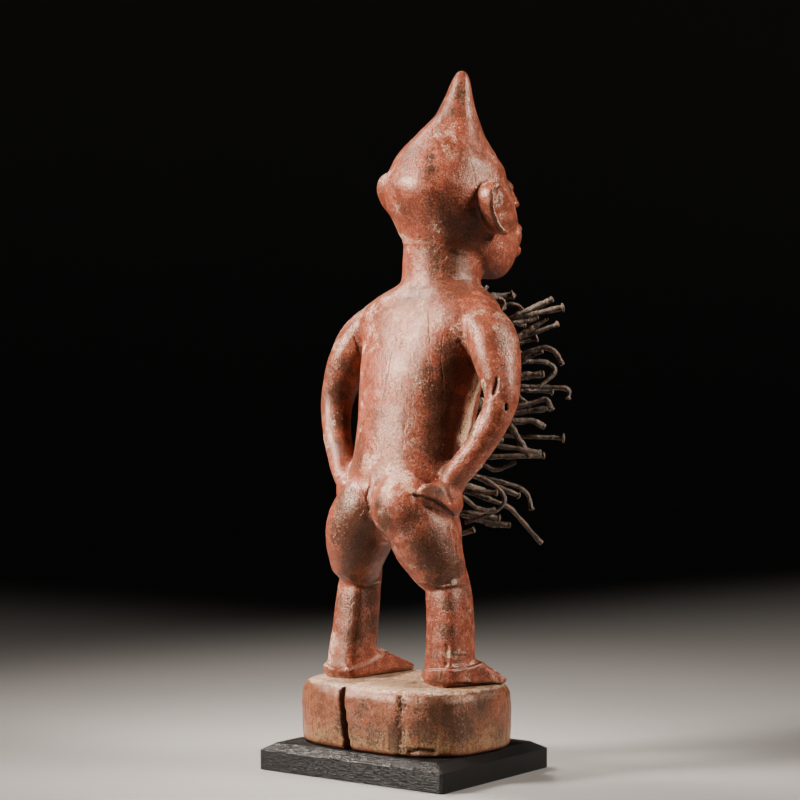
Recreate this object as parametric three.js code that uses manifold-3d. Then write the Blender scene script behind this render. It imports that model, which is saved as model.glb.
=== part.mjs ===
// Carved power figure with a pointed cap, hands on hips, its front set with forged nails.
// The figure and its drum base are one block of wood, standing on a bevelled display plinth.
// Millimetres, +Z up, the figure faces -Y, its right side is -X, origin under the plinth.
import * as THREE from 'three';
import { mergeVertices } from 'three/addons/utils/BufferGeometryUtils.js';
import Module from 'manifold-3d';

const wasm = await Module();
wasm.setup();

// Display plinth
const PLINTH_WIDTH = 200;
const PLINTH_DEPTH = 163;
const PLINTH_WALL_HEIGHT = 17.6;
const PLINTH_BEVEL_RISE = 6.2;
const PLINTH_BEVEL_RUN = 11;
const PLINTH_CORNER_RADIUS = 4;

// Gap kept between pieces that touch
const SEAT_GAP = 0.3;

// Drum base, one with the figure
const DRUM_WIDTH = 186;
const DRUM_DEPTH = 138;
const DRUM_HEIGHT = 55;
const DRUM_EDGE_ROUND = 10;
const DRUM_FOOT_WEAR = 3;
const DRUM_SHIFT = -2;
const DRUM_SQUARENESS = 3;

// Open drying crack down the back of the drum
const CRACK_WIDTH = 8;
const CRACK_DEPTH = 24;
const CRACK_FOOT_X = 7;
const CRACK_LEAN = 0.16;

// Figure from its soles to the tip of the cap. The tables of its body are in millimetres of a
// figure of MEASURED_HEIGHT and follow FIGURE_HEIGHT.
const FIGURE_HEIGHT = 546;
const MEASURED_HEIGHT = 546;
const FIGURE_TURN = -3.3;
const HEAD_TURN = -6;
const HEAD_TILT = -7;

// Forged nails: square shanks driven through the pack or straight into the wood
const NAIL_SHANK = 4.2;
const NAIL_POINT = 1.2;
const NAIL_HEAD_THICKNESS = 2;
const NAIL_SEAT_DEPTH = 13;
const BORE_CLEARANCE = 0.3;

// Resin and clay pack on the belly
const PACK_HALF_WIDTH = 47;
const PACK_PROUD = 24;
const PACK_CENTRE_SHARE = 0.6;
const PACK_BACK_REACH = 8;

const share = FIGURE_HEIGHT / MEASURED_HEIGHT;
const FORWARD = new THREE.Vector3(0, -1, 0);
const BACK = new THREE.Vector3(0, 1, 0);
const UP = new THREE.Vector3(0, 0, 1);

// Closed skin over rings of equally many points, with a fan over each end
function skin(rings) {
  const sides = rings[0].length;
  const points = rings.flat();
  const faces = [];
  for (let ring = 0; ring < rings.length - 1; ring += 1) {
    for (let side = 0; side < sides; side += 1) {
      const next = (side + 1) % sides;
      const a = ring * sides + side;
      const b = ring * sides + next;
      const c = a + sides;
      const d = b + sides;
      faces.push(a, b, d, a, d, c);
    }
  }
  for (const [start, flip] of [[0, true], [(rings.length - 1) * sides, false]]) {
    const centre = new THREE.Vector3();
    for (let side = 0; side < sides; side += 1) {
      centre.addScaledVector(points[start + side], 1 / sides);
    }
    const hub = points.length;
    points.push(centre);
    for (let side = 0; side < sides; side += 1) {
      const a = start + side;
      const b = start + (side + 1) % sides;
      faces.push(...(flip ? [hub, b, a] : [hub, a, b]));
    }
  }
  const geometry = new THREE.BufferGeometry().setFromPoints(points);
  geometry.setIndex(faces);
  return geometry;
}

// Solid of a closed geometry, turned inside out where its faces point in
function solid(geometry) {
  const bare = geometry.clone();
  bare.deleteAttribute('normal');
  bare.deleteAttribute('uv');
  const merged = mergeVertices(bare, 1e-4);
  const vertProperties = new Float32Array(merged.attributes.position.array);
  const corners = Array.from(merged.index.array);
  const at = (index) => new THREE.Vector3().fromArray(vertProperties, index * 3);
  let volume = 0;
  for (let i = 0; i < corners.length; i += 3) {
    volume += at(corners[i]).dot(at(corners[i + 1]).cross(at(corners[i + 2])));
  }
  const triVerts = new Uint32Array(volume < 0 ? corners.reverse() : corners);
  return new wasm.Manifold(new wasm.Mesh({ numProp: 3, vertProperties, triVerts }));
}

// Offset of a point on a squared oval with its own reach ahead (-Y) and behind (+Y)
function ovalOffset(angle, halfWidth, front, rear, squareness) {
  const across = Math.cos(angle);
  const along = Math.sin(angle);
  const power = 2 / squareness;
  const reach = along < 0 ? front : rear;
  return [
    halfWidth * Math.sign(across) * Math.abs(across) ** power,
    reach * Math.sign(along) * Math.abs(along) ** power,
  ];
}

// Level ovals one above the other: [height, centre x, centre y, half width, front, rear, squareness]
function stack(rows, sides) {
  return skin(rows.map(([height, x, y, halfWidth, front, rear, squareness]) => {
    const ring = [];
    for (let side = 0; side < sides; side += 1) {
      const angle = (side + 0.5) / sides * 2 * Math.PI;
      const [dx, dy] = ovalOffset(angle, halfWidth, front, rear, squareness);
      ring.push(new THREE.Vector3(x + dx, y + dy, height));
    }
    return ring;
  }));
}

// Ovals across a path: [x, y, z, half size across, half size deep, squareness]. The deep half
// size lies along the reference direction, the other one square to it and to the path.
function limb(rows, sides, reference) {
  const path = rows.map(([x, y, z]) => new THREE.Vector3(x, y, z));
  return skin(rows.map(([, , , across, deep, squareness], i) => {
    const tangent = path[Math.min(i + 1, path.length - 1)].clone();
    tangent.sub(path[Math.max(i - 1, 0)]).normalize();
    const deepAxis = reference.clone().addScaledVector(tangent, -reference.dot(tangent)).normalize();
    const acrossAxis = new THREE.Vector3().crossVectors(deepAxis, tangent);
    const ring = [];
    for (let side = 0; side < sides; side += 1) {
      const angle = (side + 0.5) / sides * 2 * Math.PI;
      const [u, v] = ovalOffset(angle, across, deep, deep, squareness);
      const point = path[i].clone().addScaledVector(acrossAxis, u).addScaledVector(deepAxis, v);
      ring.push(point);
    }
    return ring;
  }));
}

// Rounded lump with three half sizes, turned about X, Y and Z in degrees
function lump(centre, halfSizes, turns, sides) {
  const ball = new THREE.SphereGeometry(1, sides, Math.ceil(sides / 2));
  ball.rotateX(Math.PI / 2);
  ball.scale(...halfSizes);
  const radians = turns.map((turn) => THREE.MathUtils.degToRad(turn));
  ball.applyMatrix4(new THREE.Matrix4().makeRotationFromEuler(new THREE.Euler(...radians)));
  ball.translate(...centre);
  return ball;
}

function join(geometries) {
  return geometries.map(solid).reduce((whole, part) => whole.add(part));
}

// The same body part on the other side of the figure
function mirrored(geometry) {
  return geometry.clone().scale(-1, 1, 1);
}

// Trunk from the crotch to the slope of the neck
const TRUNK = [
  [122, 0, 4, 24, 22, 20, 2],
  [140, 0, 4, 46, 36, 30, 2],
  [160, 0, 2, 56, 42, 36, 2.1],
  [180, 0, -3, 58, 44, 39, 2.1],
  [200, 0, -9, 56, 45, 42, 2.1],
  [225, 0, -16, 56, 46, 45, 2.1],
  [250, 0, -21, 58, 46, 46, 2.1],
  [275, 0, -26, 60, 45, 47, 2.1],
  [298, 0, -31, 63, 42, 43, 2.2],
  [310, 0, -33, 71, 40, 40, 2.2],
  [321, 0, -35, 76, 38, 37, 2.2],
  [331, 0, -37, 73, 36, 34, 2.2],
  [341, 0, -41, 61, 35, 32, 2.1],
  [348, 0, -46, 48, 34, 31, 2.1],
  [354, 0, -51, 37, 34, 32, 2],
];

const NECK = [
  [330, 0, -50, 40, 38, 38, 2],
  [348, 0, -52, 37, 37, 37, 2],
  [365, 0, -53, 35.5, 35.5, 35.5, 2],
  [402, 0, -53, 35.5, 35.5, 35.5, 2],
];

// Right arm from inside the shoulder to the wrist
const ARM = [
  [-50, -35, 322, 12, 18, 2],
  [-62, -34, 317, 18, 24, 2],
  [-75, -30, 303, 21, 25, 2],
  [-84, -25, 284, 19.5, 24, 2],
  [-91, -21, 266, 17, 20, 2],
  [-95, -18, 250, 14.5, 16.5, 2],
  [-93, -13, 234, 13.5, 14.5, 2],
  [-86, -7, 217, 13, 14, 2],
  [-76, -1, 200, 12.5, 13.5, 2],
  [-66, 5, 186, 12, 13.5, 2],
  [-58, 9, 175, 11, 13, 2],
];

// Hand laid round the hip, from the tip of the thumb behind to the fingers in front
const HAND = [
  [-26, 35, 167, 2, 3, 2],
  [-38, 32, 168, 5, 7, 2],
  [-50, 24, 168, 7, 12, 2],
  [-58, 11, 167, 8, 17.5, 2],
  [-57, 0, 167, 6.5, 16, 2],
  [-52, -12, 168, 4, 9, 2],
];

// Thigh from inside the hip to the overhang at the knee
const THIGH = [
  [-26, 8, 166, 22, 30, 2],
  [-31, 13, 150, 28, 36, 2],
  [-36, 15, 134, 29, 36, 2.1],
  [-41, 14, 119, 27.5, 32, 2.1],
  [-46, 11, 106, 24.5, 26, 2.1],
  [-50, 7, 96, 21.5, 22.5, 2.1],
  [-53, 5, 90, 17, 18, 2.1],
];

const BUTTOCKS = [
  { centre: [-25, 26, 155], halfSizes: [30, 34, 32] },
  { centre: [25, 20, 151], halfSizes: [28, 31, 29] },
];

const SHINS = {
  right: [
    [-50, 4, 104, 15, 18, 2.3],
    [-53, 4, 86, 17, 19.5, 2.5],
    [-56, 5, 60, 18, 20.5, 2.6],
    [-57, 6, 30, 18.5, 21, 2.6],
    [-57, 7, 4, 19, 21, 2.6],
  ],
  left: [
    [49, 0, 100, 17, 19, 2.3],
    [50, 2, 84, 17, 19.5, 2.5],
    [50, 6, 60, 17, 20, 2.6],
    [50, 11, 30, 17.5, 20.5, 2.6],
    [50, 15, 4, 18, 21, 2.6],
  ],
};

// Foot from the back of the heel to the toes: [along, half width, height]
const FOOT = [
  [0, 17, 14],
  [4, 20, 15.5],
  [22, 21, 20],
  [38, 21, 24],
  [54, 21, 17],
  [70, 20, 10],
  [78, 18, 6],
];
const FEET = [
  { heel: [-50, 24], toeOut: 18, length: 67 },
  { heel: [51, 34], toeOut: -1, length: 90 },
];

// Skull and pointed cap in the head's own frame, heights as on the standing figure
const HEAD_PIVOT = [0, -53, 385];
const SKULL = [
  [386, 0, -2, 33, 66, 33, 2.2],
  [395, 0, 0, 42, 80, 37, 2.2],
  [405, 0, 0, 46, 83, 43, 2.2],
  [416, 0, 0, 50, 80, 51, 2.2],
  [428, 0, 0, 52, 73, 58, 2.1],
  [440, 0, 0, 52, 66, 60, 2.1],
  [452, 0, 1, 50, 62, 56, 2],
  [465, 0, 3, 46, 57, 47, 2],
  [477, 0, 5, 37.5, 47, 35, 2],
  [490, 0, 1.5, 28.5, 33.5, 26, 2],
  [504, 0, -3, 20, 22, 17.5, 2],
  [519, 0, -5, 13.7, 13.5, 12.3, 2],
  [534, 0, -6.6, 8.7, 8, 8.7, 2],
  [542, 0, -7, 5.5, 5, 5.5, 2],
  [545, 0, -7, 2.5, 2.5, 2.5, 2],
];
const JAW = [
  [361, 0, -40, 24, 23, 20, 2.2],
  [367, 0, -37, 32, 36, 26, 2.2],
  [377, 0, -32, 39, 46, 30, 2.2],
  [389, 0, -24, 43, 59, 30, 2.2],
  [404, 0, -12, 43, 70, 30, 2.2],
];

// Right ear, a C-shaped rim from the temple round behind and down to the lobe
const EAR_RIM = [
  [-56, -8, 445, 3, 5, 2],
  [-58, 4, 446, 3.5, 9, 2],
  [-59, 11, 438, 3.5, 10.5, 2],
  [-59, 9, 426, 3.5, 10, 2],
  [-58, 1, 413, 3.5, 9, 2],
  [-55, -9, 404, 3.5, 8, 2],
  [-52, -17, 400, 3, 5, 2],
];
const EAR_BOWL = { centre: [-49, -3, 424], halfSizes: [9, 12, 20], turns: [-28, 0, 0] };
const LEFT_EAR_SHIFT = [0, 8, -2];

// Features of the face: a nose that widens to its tip, full lips and a brow ridge
const NOSE = [
  [0, -62, 442, 6, 8, 2],
  [0, -74, 432, 10, 12, 2],
  [0, -78, 422, 12, 10, 2],
];
const UPPER_LIP = { centre: [0, -80, 409], halfSizes: [20, 11, 8] };
const LOWER_LIP = { centre: [0, -78, 394], halfSizes: [19, 12, 8] };
const BROW = { centre: [0, -53, 444], halfSizes: [34, 13, 8] };

// Resin and clay pack over the belly before the trunk is cut out of it:
// [height, share of the half width, share of its reach ahead of the belly, squareness]
const PACK = [
  [180, 0.6, 0.35, 2.4],
  [186, 0.88, 0.82, 2.8],
  [200, 1, 1, 3],
  [225, 1, 1, 3],
  [245, 0.97, 0.9, 3],
  [256, 0.85, 0.6, 2.6],
  [262, 0.6, 0.15, 2.4],
];

// Nails of the right side: height and bearing (degrees from straight ahead to the figure's
// right) of the entry, heading, head size in shanks, then reach and rise of each bend and end
const SIDE_NAILS = [
  [322, 58, 40, 1, [12, 11], [9, 17], [-4, 18], [-9, 23], [-5, 28]],
  [328, 46, 50, 1, [11, 3], [25, 7], [33, 5], [38, -1]],
  [314, 64, 61, 1.5, [11, 5], [49, 23]],
  [317, 53, 50, 2.6, [30, 6], [65, 14]],
  [315, 34, 42, 1.3, [32, 3], [50, 5], [55, 8]],
  [286, 45, 49, 1.4, [36, 21], [58, 35]],
  [292, 61, 59, 1.4, [29, 11], [61, 23]],
  [288, 53, 53, 2.2, [32, 11], [45, 15]],
  [272, 62, 60, 1.2, [34, 16], [46, 21], [56, 23], [64, 19], [69, 9]],
  [281, 37, 42, 1, [40, 2], [64, 2], [72, -3], [72, -9], [60, -19]],
  [263, 63, 62, 1.4, [36, 6], [53, 8]],
  [261, 54, 54, 1.6, [37, -1], [75, -2], [79, -5], [78, -10]],
  [259, 35, 42, 2, [52, -2], [71, -3]],
  [252, 58, 60, 1, [30, 4], [37, -3], [45, -9]],
  [235, 64, 60, 1.3, [39, 8], [52, 11], [62, 15], [66, 6]],
  [232, 45, 48, 1.3, [41, 5], [64, 8]],
  [228, 55, 54, 1.2, [37, 1], [51, 2], [60, -3]],
  [240, 58, 66, 1.1, [24, -6], [32, -18], [46, -41]],
  [217, 50, 52, 2.3, [32, -1], [80, -3]],
  [210, 62, 60, 1.3, [27, -3], [41, -5], [59, -8]],
  [197, 38, 45, 1.9, [23, 0], [71, 1]],
  [198, 58, 56, 1, [13, -7], [21, -12], [27, -12], [41, -5]],
  [184, 62, 60, 1.2, [8, -3], [20, -8], [29, -15], [34, -23], [30, -32], [13, -39], [0, -44]],
  [182, 45, 48, 1.6, [24, -4], [38, -8], [51, -12], [59, -19], [61, -30]],
  [186, 30, 38, 1.4, [38, -16], [56, -24]],
  [169, 54, 52, 1.6, [8, -2], [29, -3]],
  [169, 47, 49, 1.4, [8, -3], [39, -14], [46, -18], [57, -31], [71, -47]],
  [163, 64, 58, 1, [4, -3], [12, -10], [21, -13], [29, -11]],
  [151, 37, 43, 1.4, [28, -10], [37, -14], [53, -15]],
  [150, 48, 49, 1.6, [25, -4], [40, -7]],
  [131, 58, 56, 1.9, [17, -3], [30, 2]],
];
// Nails of the front and left side stand in staggered columns, between two shares of the trunk
const FRONT_COLUMNS = { bearings: [-62, -38, -14, 10], lowest: 0.16, highest: 0.84, rows: 5 };
const FRONT_REACH = 60;
const FRONT_HEAD_SIZES = [1, 2.1, 1.3, 1.6];

// Foot: squared ovals with a flat sole pressed a little into the drum
function foot({ heel: [x, y], toeOut, length }) {
  const SOLE_SINK = 1.5;
  const outward = Math.sign(x) * Math.sin(THREE.MathUtils.degToRad(toeOut));
  const ahead = -Math.cos(THREE.MathUtils.degToRad(toeOut));
  const stretch = length / FOOT.at(-1)[0];
  const rows = FOOT.map(([along, halfWidth, height]) => [
    x + outward * along * stretch, y + ahead * along * stretch, (height - SOLE_SINK) / 2,
    halfWidth, (height + SOLE_SINK) / 2, 3.2,
  ]);
  return limb(rows, 8, UP);
}

function drum() {
  const halfWidth = DRUM_WIDTH / 2;
  const halfDepth = DRUM_DEPTH / 2;
  const edge = DRUM_EDGE_ROUND;
  const row = (height, inset) => [
    height, DRUM_SHIFT, 0, halfWidth - inset, halfDepth - inset, halfDepth - inset, DRUM_SQUARENESS,
  ];
  const rows = [
    row(-DRUM_HEIGHT, DRUM_FOOT_WEAR),
    row(-DRUM_HEIGHT + DRUM_FOOT_WEAR, 0.8),
    row(-DRUM_HEIGHT * 0.5, 0),
    row(-edge, 1),
    row(-edge * 0.4, edge * 0.25),
    row(-edge * 0.1, edge * 0.6),
    row(0, edge),
  ];
  return stack(rows, 26);
}

// Wedge that widens to the drum's back face, leaning as it rises
function crack() {
  const OVERRUN = 3;
  const wedge = new THREE.Shape();
  wedge.moveTo(-CRACK_WIDTH / 2, OVERRUN);
  wedge.lineTo(CRACK_WIDTH / 2, OVERRUN);
  wedge.lineTo(0, -CRACK_DEPTH);
  const height = DRUM_HEIGHT + 2 * OVERRUN;
  const geometry = new THREE.ExtrudeGeometry(wedge, { depth: height, bevelEnabled: false });
  const lean = new THREE.Matrix4().set(1, 0, CRACK_LEAN, 0, 0, 1, 0, 0, 0, 0, 1, 0, 0, 0, 0, 1);
  geometry.applyMatrix4(lean);
  geometry.translate(CRACK_FOOT_X, DRUM_DEPTH / 2, -DRUM_HEIGHT - OVERRUN);
  return geometry;
}

function head() {
  const parts = [stack(SKULL, 20), stack(JAW, 14)];
  const ear = [
    limb(EAR_RIM, 6, new THREE.Vector3(1, 0, 0)),
    lump(EAR_BOWL.centre, EAR_BOWL.halfSizes, EAR_BOWL.turns, 8),
  ];
  parts.push(...ear, ...ear.map((piece) => mirrored(piece).translate(...LEFT_EAR_SHIFT)));
  parts.push(limb(NOSE, 8, FORWARD));
  for (const { centre, halfSizes } of [UPPER_LIP, LOWER_LIP, BROW]) {
    parts.push(lump(centre, halfSizes, [0, 0, 0], 8));
  }
  return join(parts);
}

// Head turned and tilted about the top of the neck
function placedHead() {
  const [x, y, z] = HEAD_PIVOT;
  const matrix = new THREE.Matrix4().makeTranslation(x, y, z);
  matrix.multiply(new THREE.Matrix4().makeRotationZ(THREE.MathUtils.degToRad(HEAD_TURN)));
  matrix.multiply(new THREE.Matrix4().makeRotationY(THREE.MathUtils.degToRad(HEAD_TILT)));
  matrix.multiply(new THREE.Matrix4().makeTranslation(0, 0, -z));
  return head().transform(matrix.elements);
}

function figure() {
  const arm = limb(ARM, 11, BACK);
  const hand = limb(HAND, 8, UP);
  const thigh = limb(THIGH, 14, BACK);
  const body = join([
    stack(TRUNK, 22),
    stack(NECK, 18),
    arm, mirrored(arm),
    hand, mirrored(hand),
    thigh, mirrored(thigh),
    ...BUTTOCKS.map(({ centre, halfSizes }) => lump(centre, halfSizes, [0, 0, 0], 12)),
    limb(SHINS.right, 10, BACK), limb(SHINS.left, 10, BACK),
    ...FEET.map(foot),
  ]);
  const base = solid(drum()).subtract(solid(crack()));
  return body.add(placedHead()).scale([share, share, share]).add(base);
}

// Point where a bearing meets the trunk at a height
function flankPoint(height, bearing) {
  const above = Math.max(TRUNK.findIndex((row) => row[0] > height), 1);
  const [low, high] = [TRUNK[above - 1], TRUNK[above]];
  const t = (height - low[0]) / (high[0] - low[0]);
  const [, x, y, halfWidth, front, rear, squareness] = low.map((v, k) => v + t * (high[k] - v));
  const angle = THREE.MathUtils.degToRad(bearing);
  const right = -Math.sin(angle);
  const back = -Math.cos(angle);
  const reach = back < 0 ? front : rear;
  const size = (Math.abs(right) / halfWidth) ** squareness + (Math.abs(back) / reach) ** squareness;
  const radius = size ** (-1 / squareness);
  return new THREE.Vector3(x + right * radius, y + back * radius, height).multiplyScalar(share);
}

// Square shank from a point in the wood through its entry and bends to its end or head. The
// same shape grown by a clearance is its bore.
function nail([height, bearing, heading, headSize, ...bends], grown = 0) {
  const entry = flankPoint(height, bearing);
  const angle = THREE.MathUtils.degToRad(heading);
  const outward = new THREE.Vector3(-Math.sin(angle), -Math.cos(angle), 0);
  const path = bends.map(([reach, rise]) => {
    return entry.clone().addScaledVector(outward, reach * share).addScaledVector(UP, rise * share);
  });
  const inward = entry.clone().sub(path[0]).normalize();
  path.unshift(entry.clone().addScaledVector(inward, NAIL_SEAT_DEPTH));
  const half = NAIL_SHANK * Math.SQRT1_2 + grown;
  const rows = path.map((point) => [...point, half, half, 2]);
  rows[0] = [...path[0].clone().addScaledVector(inward, grown), NAIL_POINT + grown, NAIL_POINT + grown, 2];
  if (headSize > 1) {
    const end = path.at(-1);
    const along = end.clone().sub(path.at(-2)).normalize();
    const wide = headSize * NAIL_SHANK * Math.SQRT1_2 + grown;
    for (const [step, size] of [[0.4, wide], [1, wide], [1.3, wide * 0.7]]) {
      const at = end.clone().addScaledVector(along, step * (NAIL_HEAD_THICKNESS + grown));
      rows.push([...at, size, size, 2]);
    }
  }
  const level = new THREE.Vector3(outward.y, -outward.x, 0);
  return limb(rows, 4, level);
}

function frontNails() {
  const { bearings, lowest, highest, rows } = FRONT_COLUMNS;
  const crotch = TRUNK[0][0];
  const trunkHeight = TRUNK.at(-1)[0] - crotch;
  const nails = [];
  bearings.forEach((bearing, column) => {
    for (let row = 0; row < rows; row += 1) {
      const step = (row + (column % 2) / 2) / (rows - 0.5);
      const height = crotch + trunkHeight * (lowest + (highest - lowest) * step);
      const sway = Math.sin(3.1 * row + 1.9 * column);
      const rise = Math.cos(2.3 * row + 1.1 * column);
      const reach = FRONT_REACH + 9 * sway;
      const bends = [[reach * 0.6, 7 * rise]];
      bends.push(row % 3 === 1 ? [reach * 0.85, 9 * rise - 12 * sway] : [reach, 12 * rise]);
      const headSize = FRONT_HEAD_SIZES[(row + 2 * column) % FRONT_HEAD_SIZES.length];
      nails.push([height, bearing + 4 * rise, bearing * 0.9 + 5 * sway, headSize, ...bends]);
    }
  });
  return nails;
}

function pack() {
  const depth = flankPoint((PACK[0][0] + PACK.at(-1)[0]) / 2, 0).y / share;
  const rows = PACK.map(([height, width, proud, squareness]) => [
    height, 0, depth * PACK_CENTRE_SHARE, PACK_HALF_WIDTH * width,
    PACK_PROUD * proud - depth * (1 - PACK_CENTRE_SHARE), PACK_BACK_REACH, squareness,
  ]);
  const gap = SEAT_GAP / share;
  const hollow = TRUNK.map(([height, x, y, halfWidth, front, rear, squareness]) => [
    height, x, y, halfWidth + gap, front + gap, rear + gap, squareness,
  ]);
  return solid(stack(rows, 18)).subtract(solid(stack(hollow, 22))).scale([share, share, share]);
}

// Level-cornered plinth with a bevelled top edge
function plinth() {
  const ring = (height, inset) => {
    const points = [];
    const radius = PLINTH_CORNER_RADIUS;
    const halfWidth = PLINTH_WIDTH / 2 - inset - radius;
    const halfDepth = PLINTH_DEPTH / 2 - inset - radius;
    for (const [sx, sy, start] of [[1, 1, 0], [-1, 1, 1], [-1, -1, 2], [1, -1, 3]]) {
      for (let step = 0; step <= 2; step += 1) {
        const angle = (start + step / 2) * Math.PI / 2;
        points.push(new THREE.Vector3(
          sx * halfWidth + radius * Math.cos(angle),
          sy * halfDepth + radius * Math.sin(angle),
          height,
        ));
      }
    }
    return points;
  };
  return skin([
    ring(0, 0),
    ring(PLINTH_WALL_HEIGHT, 0),
    ring(PLINTH_WALL_HEIGHT + PLINTH_BEVEL_RISE, PLINTH_BEVEL_RUN),
  ]);
}

function meshOf(body, name, material) {
  const { numProp, vertProperties, triVerts } = body.getMesh();
  const geometry = new THREE.BufferGeometry();
  geometry.setAttribute('position', new THREE.BufferAttribute(vertProperties, numProp));
  geometry.setIndex(new THREE.BufferAttribute(triVerts, 1));
  geometry.computeVertexNormals();
  const mesh = new THREE.Mesh(geometry, material);
  mesh.name = name;
  return mesh;
}

const redWood = new THREE.MeshStandardMaterial({ color: 0x8a5a48, roughness: 0.55, metalness: 0 });
const blackWood = new THREE.MeshStandardMaterial({ color: 0x161618, roughness: 0.45, metalness: 0 });
const resin = new THREE.MeshStandardMaterial({ color: 0x8c8270, roughness: 0.9, metalness: 0 });
const iron = new THREE.MeshStandardMaterial({ color: 0x4a4038, roughness: 0.75, metalness: 0.6 });

const nails = [...SIDE_NAILS, ...frontNails()];
const bores = nails.map((row) => solid(nail(row, BORE_CLEARANCE))).reduce((all, bore) => all.add(bore));

const object = new THREE.Group();
object.add(meshOf(solid(plinth()), 'plinth', blackWood));

const standing = new THREE.Group();
standing.position.z = PLINTH_WALL_HEIGHT + PLINTH_BEVEL_RISE + SEAT_GAP + DRUM_HEIGHT;
standing.rotation.z = THREE.MathUtils.degToRad(FIGURE_TURN);
standing.add(meshOf(figure().subtract(bores), 'figure', redWood));
standing.add(meshOf(pack().subtract(bores), 'medicine_pack', resin));
nails.forEach((row, index) => {
  const name = `nail_${String(index + 1).padStart(2, '0')}`;
  standing.add(meshOf(solid(nail(row)), name, iron));
});
object.add(standing);

export default object;
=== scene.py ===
"""Looks of the carved power figure: one block of polished wood on its drum, a belly pack, forged
nails and a black display plinth. Tables are in millimetres of the figure's own frame: origin at
the soles, the figure faces -Y, its right side is -X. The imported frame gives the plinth's place."""
import itertools
import math
import random

import bmesh
import bpy
import numpy as np
from mathutils import Matrix, Vector
from mathutils.bvhtree import BVHTree


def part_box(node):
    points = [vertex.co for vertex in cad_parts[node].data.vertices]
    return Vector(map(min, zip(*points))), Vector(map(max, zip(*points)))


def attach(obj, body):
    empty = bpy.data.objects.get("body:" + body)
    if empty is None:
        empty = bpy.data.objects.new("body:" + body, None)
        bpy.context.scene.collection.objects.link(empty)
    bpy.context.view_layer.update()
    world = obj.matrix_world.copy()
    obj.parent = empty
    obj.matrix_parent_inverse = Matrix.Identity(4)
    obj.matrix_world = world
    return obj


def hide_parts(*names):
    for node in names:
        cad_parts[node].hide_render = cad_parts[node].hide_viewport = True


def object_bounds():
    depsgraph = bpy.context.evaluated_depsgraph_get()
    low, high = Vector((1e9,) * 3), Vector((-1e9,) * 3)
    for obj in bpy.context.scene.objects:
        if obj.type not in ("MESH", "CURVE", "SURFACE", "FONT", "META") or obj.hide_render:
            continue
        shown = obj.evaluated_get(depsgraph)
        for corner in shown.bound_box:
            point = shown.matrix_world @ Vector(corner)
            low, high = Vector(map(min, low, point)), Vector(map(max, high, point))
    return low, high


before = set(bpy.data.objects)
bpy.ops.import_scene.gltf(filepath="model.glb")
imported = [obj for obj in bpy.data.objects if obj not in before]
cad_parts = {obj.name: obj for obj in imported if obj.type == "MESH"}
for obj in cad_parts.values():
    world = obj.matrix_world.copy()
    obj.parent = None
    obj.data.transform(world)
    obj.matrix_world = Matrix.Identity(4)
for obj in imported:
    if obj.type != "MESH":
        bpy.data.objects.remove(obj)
cad_bounds = [list(corner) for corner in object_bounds()]

MM = 0.001

# Driving dimensions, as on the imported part
FIGURE_TURN = math.radians(-3.3)
SEAT_GAP = 0.3
DRUM_WIDTH = 186
DRUM_DEPTH = 138
DRUM_HEIGHT = 55
DRUM_SHIFT = -2
PLINTH_LOW, PLINTH_TOP = (np.array(corner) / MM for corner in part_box("plinth"))
SOLE_HEIGHT = PLINTH_TOP[2] + SEAT_GAP + DRUM_HEIGHT

# Camera: level, at the photograph's bearing; its pixels are those of the 800 x 800 photograph
PHOTO_SIZE = 800
CAMERA_BEARING = math.radians(36.69)
CAMERA_DISTANCE = 1841.3
CAMERA_HEIGHT = 327.1
CAMERA_SHIFT = -3.68
FOCAL_PIXELS = 2072.6
SENSOR_WIDTH = 36

VIEW = np.array([math.sin(CAMERA_BEARING), -math.cos(CAMERA_BEARING), 0])
RIGHT = np.array([-math.cos(CAMERA_BEARING), -math.sin(CAMERA_BEARING), 0])
UP = np.array([0.0, 0.0, 1.0])
EYE = -VIEW * CAMERA_DISTANCE + UP * CAMERA_HEIGHT + RIGHT * CAMERA_SHIFT

# Remeshing: the size of a voxel on the carving, the drum and the pack
BODY_VOXEL = 1.25
DRUM_VOXEL = 1.1
PACK_VOXEL = 1.1
MOST_TRIANGLES = 190000


# Frames

def turned(points, angle):
    """Points turned about Z."""
    c, s = math.cos(angle), math.sin(angle)
    x, y, z = np.moveaxis(np.asarray(points, float), -1, 0)
    return np.stack([c * x - s * y, s * x + c * y, z], -1)


def to_world(points):
    """Metres of the row frame for millimetres of the figure's frame."""
    return (turned(points, FIGURE_TURN) + [0, 0, SOLE_HEIGHT]) * MM


def from_world(points):
    """Millimetres of the figure's frame for millimetres of the row frame."""
    return turned(np.asarray(points, float) - [0, 0, SOLE_HEIGHT], -FIGURE_TURN)


def unit(vector):
    return vector / np.linalg.norm(vector)


# Skins

def eased(rows, steps):
    """Rows with Catmull-Rom steps between them."""
    rows = np.asarray(rows, float)
    fine = []
    for i in range(len(rows) - 1):
        before, here = rows[max(i - 1, 0)], rows[i]
        ahead, after = rows[i + 1], rows[min(i + 2, len(rows) - 1)]
        for t in np.arange(steps) / steps:
            bend = 2 * before - 5 * here + 4 * ahead - after
            twist = 3 * here - before - 3 * ahead + after
            fine.append(here + 0.5 * t * (ahead - before + t * (bend + t * twist)))
    fine.append(rows[-1])
    return np.array(fine)


def oval(sides, half_width, front, rear, squareness):
    """Offsets on a squared oval with its own reach ahead and behind."""
    angle = (np.arange(sides) + 0.5) / sides * 2 * math.pi
    across, along = np.cos(angle), np.sin(angle)
    power = 2 / squareness
    reach = np.where(along < 0, front, rear)
    return np.stack([half_width * np.sign(across) * np.abs(across) ** power,
                     reach * np.sign(along) * np.abs(along) ** power], -1)


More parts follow.
